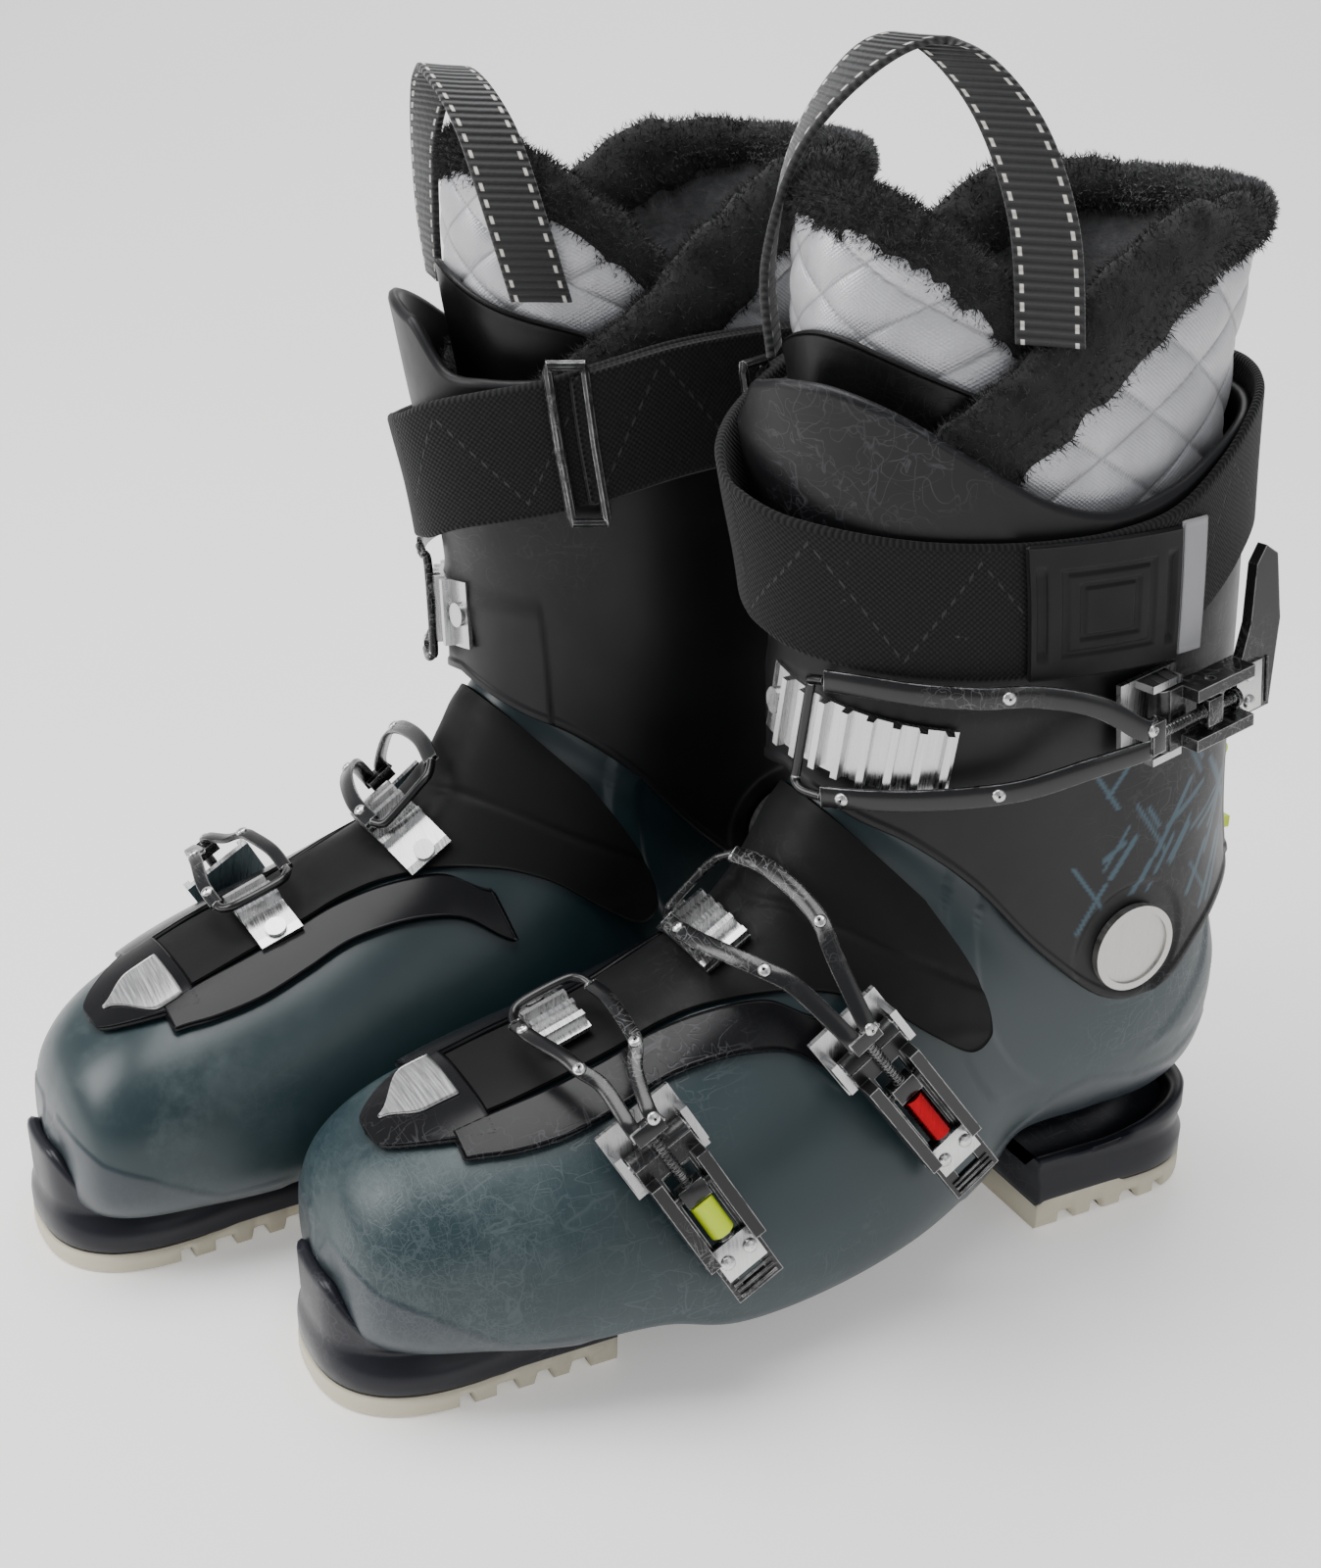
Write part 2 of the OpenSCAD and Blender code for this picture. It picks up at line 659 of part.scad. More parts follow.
strap_count = 48;
module power_strap() {
    mid = ring_edge(strap_mid, strap_count);
    color([0.03, 0.03, 0.03])
    union() {
        leg_ring(cuff_rows, [for (z = mid) z - strap_h / 2], [for (z = mid) z + strap_h / 2],
            0.4, 0.4 + strap_t, 3, strap_count, strap_bulge);
        leg_slab(cuff_rows, [for (i = [0:8]) 212], [for (i = [0:8]) 252.5], 0.3 + strap_t, 2.4 + strap_t,
            -23, 19, 3, 8);
    }
}
module strap_ring() {
    d = strap_t + 2.4;
    a = 214;
    b = 222;
    corners = [[a, 235], [a, 233], [b, 233], [b, 235], [b, 258], [b, 281], [b, 283], [a, 283], [a, 281], [a, 258]];
    color([0.02, 0.02, 0.02])
    bar([for (c = corners) leg_out(cuff_rows, c[1], c[0], d)], 3.2,
        leg_out(cuff_rows, 258, 218, 9) - leg_out(cuff_rows, 258, 218, 0), true);
}

module liner_cuff() {
    count = 34;
    a0 = -52;
    a1 = 232;
    low = [for (i = [0:count]) edge(liner_low, a0 + (a1 - a0) * i / count)];
    high = [for (i = [0:count]) edge(liner_high, a0 + (a1 - a0) * i / count)];
    color([0.6, 0.6, 0.61])
    leg_slab(liner_rows, low, high, -9, 0, a0, a1, 6, count);
}
module liner_tongue() {
    count = 18;
    a0 = -168;
    a1 = -12;
    high = [for (i = [0:count]) let(f = abs(2 * i / count - 1)) 346 - 40 * pow(f, 2.6)];
    color([0.62, 0.62, 0.63])
    leg_slab(liner_rows, [for (i = [0:count]) 182], high, -18, -10, a0, a1, 7, count);
}
// Webbing loop: centre line x, y, z and the direction x, y of its width, from end to end
left_loop = [[-22, 1, 292, 0.8, -0.6], [-24, -1, 318, 0.8, -0.6], [-17, 3, 350, 0.78, -0.35],
    [0, 14, 374, 0.74, 0.05], [16, 24, 378, 0.68, 0.4], [31, 36, 362, 0.62, 0.62], [41, 44, 335, 0.6, 0.7],
    [47.5, 45, 304, 0.6, 0.7]];
right_loop = [[-31, 11, 298, 0.46, -0.89], [-30, 4, 320, 0.5, -0.86], [-20, -1, 346, 0.55, -0.8],
    [-2, -2, 359, 0.62, -0.62], [15, 0, 359, 0.72, -0.3], [30, 3, 340, 0.8, 0], [36, 6, 315, 0.8, 0.1],
    [38, 9, 294, 0.8, 0.2]];
module pull_loop(path = left_loop) {
    n = len(path) - 1;
    steps = 20;
    color([0.04, 0.04, 0.04])
    skin([for (j = [0:steps]) let(
            t = n * j / steps,
            r = along(path, t),
            q = along(path, t + 0.05) - along(path, t - 0.05),
            p = [r[0], r[1], r[2]],
            w = unit([r[3], r[4], 0]),
            o = unit(cross(w, [q[0], q[1], q[2]])))
        [p - w * 9 - o, p + w * 9 - o, p + w * 9 + o, p - w * 9 + o]], false);
}

// ---- the pair --------------------------------------------------------------
module left() {
    translate(centre)
    children();
}
module right() {
    translate(centre)
    translate(right_shift)
    rotate([0, 0, right_yaw])
    mirror([1, 0, 0])
    children();
}

// ---- drawing ---------------------------------------------------------------
left() lower_shell();  // left_lower_shell
left() instep_overlay();  // left_instep_overlay
left() toe_trim();  // left_toe_trim
left() toe_badge();  // left_toe_badge
left() sole_lugs();  // left_sole_lugs
left() sole_treads();  // left_sole_treads
left() sole_screws();  // left_sole_screws
left() boot_board();  // left_boot_board
left() lower_racks();  // left_lower_racks
left() lower_buckle_bases();  // left_lower_buckle_bases
left() lower_rivets();  // left_lower_rivets
left() ankle_pivots();  // left_ankle_pivots
left() liner_foot();  // left_liner_foot
left() cuff_shell();  // left_cuff_shell
left() cuff_rack();  // left_cuff_rack
left() cuff_buckle_base();  // left_cuff_buckle_base
left() power_strap();  // left_power_strap
left() strap_ring();  // left_strap_ring
left() liner_cuff();  // left_liner_cuff
left() liner_tongue();  // left_liner_tongue
left() pull_loop();  // left_pull_loop
left() walk_lever();  // left_walk_lever
left() toe_lever();  // left_toe_lever
left() instep_lever();  // left_instep_lever
left() cuff_lever();  // left_cuff_lever
left() toe_bail();  // left_toe_bail
left() instep_bail();  // left_instep_bail
left() cuff_bail();  // left_cuff_bail
left() toe_adjuster();  // left_toe_adjuster
left() instep_adjuster();  // left_instep_adjuster
right() lower_shell();  // right_lower_shell
right() instep_overlay();  // right_instep_overlay
right() toe_trim();  // right_toe_trim
right() toe_badge();  // right_toe_badge
right() sole_lugs();  // right_sole_lugs
right() sole_treads();  // right_sole_treads
right() sole_screws();  // right_sole_screws
right() boot_board();  // right_boot_board
right() lower_racks();  // right_lower_racks
right() lower_buckle_bases();  // right_lower_buckle_bases
right() lower_rivets();  // right_lower_rivets
right() ankle_pivots();  // right_ankle_pivots
right() liner_foot();  // right_liner_foot
right() cuff_shell();  // right_cuff_shell
right() cuff_rack();  // right_cuff_rack
right() cuff_buckle_base();  // right_cuff_buckle_base
right() power_strap();  // right_power_strap
right() strap_ring();  // right_strap_ring
right() liner_cuff();  // right_liner_cuff
right() liner_tongue();  // right_liner_tongue
right() pull_loop(right_loop);  // right_pull_loop
right() walk_lever();  // right_walk_lever
right() toe_lever();  // right_toe_lever
right() instep_lever();  // right_instep_lever
right() cuff_lever();  // right_cuff_lever
right() toe_bail();  // right_toe_bail
right() instep_bail();  // right_instep_bail
right() cuff_bail();  // right_cuff_bail
right() toe_adjuster();  // right_toe_adjuster
right() instep_adjuster();  // right_instep_adjuster
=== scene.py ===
import bpy
import math
import numpy as np
from mathutils import Vector, Matrix


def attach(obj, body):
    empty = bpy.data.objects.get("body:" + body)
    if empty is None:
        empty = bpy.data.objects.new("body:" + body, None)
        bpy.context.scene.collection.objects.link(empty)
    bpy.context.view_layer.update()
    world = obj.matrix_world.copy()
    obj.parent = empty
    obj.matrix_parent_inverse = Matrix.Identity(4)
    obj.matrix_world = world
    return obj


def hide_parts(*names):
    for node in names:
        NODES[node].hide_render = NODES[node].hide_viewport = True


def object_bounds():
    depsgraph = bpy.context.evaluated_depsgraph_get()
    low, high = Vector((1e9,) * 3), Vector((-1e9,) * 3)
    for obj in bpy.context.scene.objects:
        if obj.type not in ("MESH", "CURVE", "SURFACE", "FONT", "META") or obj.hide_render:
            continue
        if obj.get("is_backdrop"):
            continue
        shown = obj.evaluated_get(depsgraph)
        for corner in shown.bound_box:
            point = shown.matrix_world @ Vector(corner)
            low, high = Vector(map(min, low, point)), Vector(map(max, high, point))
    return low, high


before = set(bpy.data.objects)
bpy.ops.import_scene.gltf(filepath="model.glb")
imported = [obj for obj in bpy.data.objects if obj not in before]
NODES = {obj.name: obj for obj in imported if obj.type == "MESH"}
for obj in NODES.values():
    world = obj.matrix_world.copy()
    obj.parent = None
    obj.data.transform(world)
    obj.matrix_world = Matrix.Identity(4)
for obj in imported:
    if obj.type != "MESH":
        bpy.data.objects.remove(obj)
cad_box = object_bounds()

# ---------------------------------------------------------------- the pair
CENTRE = np.array([57.28, 21.86, 0.0])
RIGHT_SHIFT = np.array([-113.0, -58.0, 0.0])
RIGHT_YAW = math.radians(4.4)
SIDES = ("left", "right")


def place(p, side):
    """Boot coordinates in mm to the row frame in metres."""
    p = np.array(p, float)
    if side == "right":
        p = p * [-1, 1, 1]
        c, s = math.cos(RIGHT_YAW), math.sin(RIGHT_YAW)
        p = p @ np.array([[c, s, 0], [-s, c, 0], [0, 0, 1]])
        p = p + RIGHT_SHIFT
    return (p + CENTRE) / 1000


# ---------------------------------------------------------------- surfaces
CLOG = np.array([
    [-151.5, 30, -152.5, 48, -2, 10, 12, 10, 2.4],
    [-150.2, 23.5, -150.5, 59, -3, 24, 26, 20, 2.6],
    [-146, 20.5, -145.5, 68, -3, 34, 37, 27, 2.7],
    [-136, 19.6, -136, 76, -2, 42, 45.5, 32, 2.9],
    [-120, 19.4, -121, 83.5, -0.5, 48, 53, 35, 3],
    [-96, 19.3, -98, 91.5, 2, 56, 59, 36, 3],
    [-66, 19.2, -69, 100.5, 3.5, 59, 62, 35, 3],
    [-40, 10, -46, 110, 3.5, 59, 63, 32, 3],
    [-5, 8.5, -24, 121, 3, 57, 61, 29, 2.9],
    [32, 11, -11, 136, 1.5, 53, 60, 27, 2.7],
    [62, 19, -4, 149, 1, 45, 58, 28, 2.6],
    [82, 30.8, 0, 157, 1, 38, 57, 30, 2.5],
    [112, 31.4, 3, 161, 1, 36, 54, 32, 2.5],
    [140, 33.5, 5, 164, 1, 36, 51, 33, 2.5],
    [157, 46, 6.5, 165.5, 1, 36, 50, 34, 2.5],
    [162.5, 72, 7.5, 166, 1, 36, 49, 35, 2.5],
    [157, 98, 8.5, 166.5, 1, 37, 45, 35, 2.4],
    [148.5, 122, 9.5, 167, 1, 37, 43, 35, 2.3]])
CUFF = np.array([
    [60, 22, 176, 50, 49, 2.3],
    [85, 14, 172, 50, 49, 2.25],
    [110, 8, 166, 49.6, 48.6, 2.2],
    [135, 3, 160, 49.6, 48.6, 2.2],
    [160, 0, 156.5, 50.2, 49.2, 2.2],
    [185, -1, 154, 51.5, 50.5, 2.2],
    [210, -3, 151.5, 53, 51, 2.2],
    [235, -7, 148.5, 54.8, 52, 2.2],
    [260, -13, 145.5, 56.5, 53, 2.2],
    [285, -18, 143, 58, 54, 2.2],
    [310, -23, 141, 59, 55, 2.2]])
LINER = np.array([
    [110, 18, 150, 42, 41, 2.2],
    [140, 13, 149, 43, 42, 2.2],
    [170, 9, 148, 44, 43, 2.2],
    [200, 6, 146, 45.5, 44.5, 2.2],
    [235, 0, 142, 47.5, 46.5, 2.2],
    [270, -6, 138, 49.5, 48.5, 2.2],
    [300, -12, 139, 50, 49, 2.2],
    [330, -13, 143, 50, 49, 2.2],
    [360, -9, 147, 49, 48, 2.2]])
CUFF_LOW = [170, 167, 162, 155.5, 140.5, 114.5, 95, 94, 106, 115, 119, 120, 120,
            120, 119, 115, 106, 94, 95, 114.5, 140.5, 155.5, 162, 167, 170]
CUFF_HIGH = [290, 293, 293, 287, 275, 263, 258, 262, 270, 276, 279, 280, 281,
             281, 282, 283, 284, 284, 283, 281, 279, 276, 275, 276, 290]
STRAP_MID = [242, 237, 234, 232.5, 232, 232, 233, 237, 248, 259, 264, 266, 266,
             266, 266, 267, 268, 269, 269, 267, 262, 256, 252, 248, 242]
LOW_CORNER = 1.3
LINER_LOW = [188, 187, 184, 178, 170, 161, 153, 146, 141, 139, 139, 139, 139,
             139, 139, 139, 141, 146, 153, 161, 170, 178, 184, 187, 188]
LINER_HIGH = [252, 252, 256, 268, 280, 294, 311, 328, 336, 338, 338, 338, 338,
              338, 338, 338, 336, 328, 311, 294, 280, 268, 256, 252, 252]


def along(rows, t):
    """Catmull-Rom value of a table at fractional rows t."""
    rows = np.asarray(rows, float)
    n = len(rows) - 1
    t = np.asarray(t, float)
    i = np.clip(np.floor(t).astype(int), 0, n - 1)
    f = t - i
    if rows.ndim > 1:
        f = f[..., None]
    a, b = rows[np.maximum(i - 1, 0)], rows[i]
    c, d = rows[i + 1], rows[np.minimum(i + 2, n)]
    return 0.5 * (2 * b + (c - a) * f + (2 * a - 5 * b + 4 * c - d) * f ** 2 + (3 * b - a - 3 * c + d) * f ** 3)


def edge(table, a):
    """Height of an edge at angle a (degrees) round the leg."""
    return along(table, ((np.asarray(a, float) + 90) % 360) / 15)


def squircle(a, n):
    a = np.radians(a)
    return (np.abs(np.cos(a)) ** n + np.abs(np.sin(a)) ** n) ** (-1 / n)


def clog(t, a):
    t, a = np.broadcast_arrays(np.asarray(t, float), np.asarray(a, float))
    r = along(CLOG, t)
    q = squircle(a, r[..., 8] * np.where(np.sin(np.radians(a)) < 0, LOW_CORNER, 1.0))
    s, c = q * np.sin(np.radians(a)), q * np.cos(np.radians(a))
    u = (s + 1) / 2
    w = r[..., 5] * (1 - u) ** 2 + 2 * r[..., 6] * u * (1 - u) + r[..., 7] * u ** 2
    return np.stack([r[..., 4] + c * w, r[..., 0] + (r[..., 2] - r[..., 0]) * u,
                     r[..., 1] + (r[..., 3] - r[..., 1]) * u], -1)


def unit(v):
    return v / np.maximum(np.linalg.norm(v, axis=-1, keepdims=True), 1e-9)


def clog_normal(t, a):
    return unit(np.cross(clog(t + 0.05, a) - clog(t - 0.05, a), clog(t, a + 1) - clog(t, a - 1)))


def clog_out(t, a, d):
    t, a, d = np.broadcast_arrays(np.asarray(t, float), np.asarray(a, float), np.asarray(d, float))
    return clog(t, a) + d[..., None] * clog_normal(t, a)


def leg(rows, z, a):
    z, a = np.broadcast_arrays(np.asarray(z, float), np.asarray(a, float))
    r = along(rows, np.interp(z, rows[:, 0], np.arange(len(rows))))
    q = squircle(a, r[..., 5])
    ca, sa = np.cos(np.radians(a)), np.sin(np.radians(a))
    soft = 0.5 + 0.5 * np.clip(ca * 6, -1, 1)
    w = r[..., 4] + (r[..., 3] - r[..., 4]) * soft
    return np.stack([q * ca * w, (r[..., 1] + r[..., 2]) / 2 + q * sa * (r[..., 2] - r[..., 1]) / 2, z], -1)


def leg_out(rows, z, a, d):
    z, a, d = np.broadcast_arrays(np.asarray(z, float), np.asarray(a, float), np.asarray(d, float))
    n = unit(np.cross(leg(rows, z, a + 1) - leg(rows, z, a - 1), leg(rows, z + 1, a) - leg(rows, z - 1, a)))
    return leg(rows, z, a) + d[..., None] * n


def smooth(x, lo, hi):
    t = np.clip((np.asarray(x, float) - lo) / (hi - lo), 0, 1)
    return t * t * (3 - 2 * t)


# ---------------------------------------------------------------- meshes
def mesh_piece(name, points, quads, side, body, mat, node=None, slot=None, uv=None, masks=None, shade=True):
    """A mesh object from points in boot mm and index rows (3 or 4 long)."""
    pts = place(points, side).astype(np.float32)
    quads = np.asarray(quads, np.int32)
    if side == "right":
        quads = quads[:, ::-1]
    k = quads.shape[1]
    me = bpy.data.meshes.new(name)
    me.vertices.add(len(pts))
    me.vertices.foreach_set("co", pts.ravel())
    me.loops.add(quads.size)
    me.loops.foreach_set("vertex_index", quads.ravel())
    me.polygons.add(len(quads))
    me.polygons.foreach_set("loop_start", np.arange(0, quads.size, k, dtype=np.int32))
    me.polygons.foreach_set("use_smooth", np.full(len(quads), shade))
    me.update(calc_edges=True)
    if uv is not None:
        layer = me.uv_layers.new(name="mm")
        layer.data.foreach_set("uv", np.asarray(uv, np.float32)[quads.ravel()].ravel())
    for key, values in (masks or {}).items():
        att = me.attributes.new(key, "FLOAT", "POINT")
        att.data.foreach_set("value", np.asarray(values, np.float32).ravel())
    me.validate()
    ob = bpy.data.objects.new(f"{side}_{name}", me)
    bpy.context.scene.collection.objects.link(ob)
    me.materials.append(mat)
    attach(ob, f"{side}_{body}")
    if node:
        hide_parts(*[f"{side}_{n}" for n in ([node] if isinstance(node, str) else node)])
    return ob


def grid_faces(m, n, close_u=False, close_v=False, start=0):
    """Quads of an m by n grid of points; u runs over rows, v along a row."""
    i = np.arange(m if close_u else m - 1)
    j = np.arange(n if close_v else n - 1)
    i, j = np.meshgrid(i, j, indexing="ij")
    a, b = i * n + j, ((i + 1) % m) * n + j
    c, d = ((i + 1) % m) * n + (j + 1) % n, i * n + (j + 1) % n
    return np.stack([a, b, c, d], -1).reshape(-1, 4) + start


def fan_caps(n, start):
    """Strip of quads closing a ring of n points."""
    i = np.arange(n // 2 - 1)
    return start + np.stack([i, i + 1, n - 2 - i, n - 1 - i], -1)


def soften(ob, width, segments=3, angle=40):
    mod = ob.modifiers.new("edge", "BEVEL")
    mod.width = width / 1000
    mod.segments = segments
    mod.limit_method = "ANGLE"
    mod.angle_limit = math.radians(angle)
    mod.harden_normals = False
    return ob


def tube(points, radius, sides=10, closed=False, hint=(0.3, 0.5, 0.8)):
    """Round bar through points; radius may be a list. Returns points, faces, uv in mm."""
    p = np.asarray(points, float)
    n = len(p)
    prev = np.roll(p, 1, 0) if closed else np.concatenate([p[:1], p[:-1]])
    nxt = np.roll(p, -1, 0) if closed else np.concatenate([p[1:], p[-1:]])
    t = unit(nxt - prev)
    x = unit(np.cross(t[0], hint))
    frames = []
    for k in range(n):
        x = unit(x - t[k] * (x @ t[k]))
        frames.append(x)
    if closed:
        twist_end = unit(frames[0] - t[-1] * (frames[0] @ t[-1]))
        ang = math.atan2(np.cross(frames[-1], twist_end) @ t[-1], frames[-1] @ twist_end)
        out = []
        for k, xk in enumerate(frames):
            b = ang * k / (n - 1)
            out.append(xk * math.cos(b) + np.cross(t[k], xk) * math.sin(b))
        frames = out
    X = np.array(frames)
    Y = np.cross(t, X)
    r = np.broadcast_to(np.asarray(radius, float), (n,))[:, None, None]
    ang = np.linspace(0, 2 * math.pi, sides, endpoint=False)
    ring = p[:, None] + r * (np.cos(ang)[None, :, None] * X[:, None] + np.sin(ang)[None, :, None] * Y[:, None])
    dist = np.concatenate([[0], np.cumsum(np.linalg.norm(np.diff(p, axis=0), axis=1))])
    uv = np.stack(np.broadcast_arrays(dist[:, None], (ang / 6.2832 * 20)[None]), -1).reshape(-1, 2)
    faces = [grid_faces(n, sides, closed, True)[:, ::-1]]
    if not closed:
        faces += [fan_caps(sides, 0), fan_caps(sides, (n - 1) * sides)[:, ::-1]]
    return ring.reshape(-1, 3), np.concatenate(faces), uv


def join(parts):
    """Several (points, faces, uv) as one."""
    pts, faces, uvs, base = [], [], [], 0
    for p, f, u in parts:
        pts.append(p)
        faces.append(np.asarray(f) + base)
        uvs.append(u)
        base += len(p)
    return np.concatenate(pts), np.concatenate(faces), np.concatenate(uvs)


def spline(points, per=8, closed=False):
    """Catmull-Rom curve through points."""
    p = np.asarray(points, float)
    if closed:
        p = np.concatenate([p[-1:], p, p[:2]])
        t = np.linspace(1, len(p) - 2, (len(p) - 3) * per, endpoint=False)
    else:
        t = np.linspace(0, len(p) - 1, (len(p) - 1) * per + 1)
    return along(p, t)


# ---------------------------------------------------------------- materials
class Nodes:
    """Short calls for building a shader."""

    def __init__(self, name):
        self.mat = bpy.data.materials.new(name)
        self.mat.use_nodes = True
        self.tree = self.mat.node_tree
        self.bsdf = self.tree.nodes["Principled BSDF"]
        self.coord = self.tree.nodes.new("ShaderNodeTexCoord")

    def new(self, kind, **values):
        node = self.tree.nodes.new(kind)
        for k, v in values.items():
            setattr(node, k, v)
        return node

    def put(self, socket, value):
        if isinstance(value, bpy.types.NodeSocket):
            self.tree.links.new(value, socket)
        elif value is not None:
            if hasattr(socket.default_value, "__len__") and isinstance(value, (int, float)):
                value = (value,) * 3 + ((1,) if len(socket.default_value) == 4 else ())
            elif hasattr(value, "__len__") and len(value) == 3 and len(socket.default_value) == 4:
                value = (*value, 1)
            socket.default_value = value

    def math(self, op, a, b=None, c=None, clamp=False):
        n = self.new("ShaderNodeMath", operation=op, use_clamp=clamp)
        for s, v in zip(n.inputs, (a, b, c)):
            self.put(s, v)
        return n.outputs[0]

    def noise(self, scale, detail=4, rough=0.55, vector=None, stretch=None, out=0, distortion=0.0):
        v = vector or self.coord.outputs["Object"]
        if stretch:
            m = self.new("ShaderNodeMapping")
            self.put(m.inputs["Vector"], v)
            m.inputs["Scale"].default_value = stretch
            v = m.outputs[0]
        n = self.new("ShaderNodeTexNoise")
        self.put(n.inputs["Vector"], v)
        n.inputs["Scale"].default_value = scale
        n.inputs["Detail"].default_value = detail
        n.inputs["Roughness"].default_value = rough
        n.inputs["Distortion"].default_value = distortion
        return n.outputs[out]

    def ramp(self, value, lo, hi, a=0.0, b=1.0):
        n = self.new("ShaderNodeMapRange")
        n.interpolation_type = "SMOOTHSTEP"
        for k, v in zip(("Value", "From Min", "From Max", "To Min", "To Max"), (value, lo, hi, a, b)):
            self.put(n.inputs[k], v)
        return n.outputs[0]

    def mix(self, fac, a, b):
        n = self.new("ShaderNodeMix", data_type="RGBA")
        self.put(n.inputs[0], fac)
        self.put(n.inputs[6], a)
        self.put(n.inputs[7], b)
        return n.outputs[2]

    def attr(self, name):
        return self.new("ShaderNodeAttribute", attribute_name=name).outputs["Fac"]

    def uv(self):
        n = self.new("ShaderNodeSeparateXYZ")
        self.put(n.inputs[0], self.coord.outputs["UV"])
        return n.outputs[0], n.outputs[1]

    def bump(self, height, strength, distance, normal=None):
        n = self.new("ShaderNodeBump")
        self.put(n.inputs["Strength"], strength)
        n.inputs["Distance"].default_value = distance / 1000
        self.put(n.inputs["Height"], height)
        if normal is not None:
            self.put(n.inputs["Normal"], normal)
        return n.outputs[0]

    def wear(self, radius=0.7, lo=0.02, hi=0.12):
        """0 on flats, 1 on worn edges."""
        b = self.new("ShaderNodeBevel", samples=4)
        b.inputs["Radius"].default_value = radius / 1000
        g = self.new("ShaderNodeNewGeometry")
        d = self.new("ShaderNodeVectorMath", operation="DOT_PRODUCT")
        self.put(d.inputs[0], b.outputs[0])
        self.put(d.inputs[1], g.outputs["Normal"])
        e = self.math("SUBTRACT", 1.0, d.outputs["Value"])
        n = self.noise(180, 3, 0.6)
        e = self.math("MULTIPLY", e, self.ramp(n, 0.3, 0.75, 0.1, 1.9))
        return self.ramp(e, lo, hi)

    def scratches(self, scale=40, width=0.02, seed=0.0):
        """Thin lines: 1 on a scratch."""
        out = None
        for k, st in enumerate(((1, 6, 2), (5, 1, 3), (2, 3, 7))):
            m = self.new("ShaderNodeMapping")
            self.put(m.inputs["Vector"], self.coord.outputs["Object"])
            m.inputs["Scale"].default_value = st
            m.inputs["Rotation"].default_value = (0.5 * k + seed, 0.7 + 0.4 * k, 0.3 + k)
            m.inputs["Location"].default_value = (seed, k, 0)
            n = self.noise(scale, 1.5, 0.4, vector=m.outputs[0], distortion=0.6)
            line = self.math("SUBTRACT", 1.0, self.math("DIVIDE", self.math("ABSOLUTE",
                             self.math("SUBTRACT", n, 0.5)), width), clamp=True)
            out = line if out is None else self.math("MAXIMUM", out, line)
        patch = self.ramp(self.noise(9, 2, 0.5), 0.5, 0.68)
        return self.math("MULTIPLY", out, patch)

    def finish(self, color=None, rough=None, metal=None, normal=None, **more):
        i = self.bsdf.inputs
        self.put(i["Base Color"], color)
        self.put(i["Roughness"], rough)
        self.put(i["Metallic"], metal)
        if normal is not None:
            self.put(i["Normal"], normal)
        for k, v in more.items():
            self.put(i[k.replace("_", " ")], v)
        return self.mat


def plastic(name, color, rough=0.4, grain=0.25, scratch=0.35, light=(0.3, 0.33, 0.34), grime=0.25, coat=0.0,
            shine=0.3):
    n = Nodes(name)
    s = n.scratches(38, 0.012, seed=len(name) * 0.37)
    dirt = n.math("MULTIPLY", n.ramp(n.noise(14, 5, 0.65), 0.45, 0.8), grime)
    c = n.mix(dirt, color, [x * 0.55 + 0.004 for x in color])
    c = n.mix(n.math("MULTIPLY", s, scratch), c, light)
    r = n.ramp(n.noise(26, 6, 0.7), 0.3, 0.75, rough * 0.85, rough * 1.25)
    h = n.math("ADD", n.math("MULTIPLY", n.noise(900, 2, 0.5), grain), n.math("MULTIPLY", s, -0.6))
    return n.finish(c, r, 0.0, n.bump(h, 0.35, 0.15), Coat_Weight=coat, Coat_Roughness=0.12,
                    Specular_IOR_Level=shine)


def metal(name, color, rough=0.28, brushed=(1, 30, 1), paint=None, paint_rough=0.35, lo=0.02, hi=0.12):
    n = Nodes(name)
    streak = n.noise(60, 3, 0.6, stretch=brushed)
    s = n.scratches(60, 0.015, seed=len(name) * 0.21)
    if paint is None:
        c = n.mix(n.ramp(streak, 0.3, 0.7), [x * 0.82 for x in color], color)
        c = n.mix(n.math("MULTIPLY", n.ramp(n.noise(22, 5, 0.7), 0.55, 0.8), 0.4), c, [x * 0.35 for x in color])
        r = n.ramp(streak, 0.3, 0.7, rough * 0.8, rough * 1.35)
        return n.finish(c, r, 1.0, n.bump(n.math("ADD", streak, s), 0.12, 0.1))
    w = n.math("MAXIMUM", n.wear(0.6, lo, hi), n.math("MULTIPLY", s, 0.5))
    c = n.mix(w, paint, color)
    r = n.math("ADD", n.math("MULTIPLY", w, rough - paint_rough), paint_rough)
    return n.finish(c, r, n.math("MULTIPLY", w, 0.95), n.bump(n.noise(500, 2, 0.5), 0.08, 0.1))


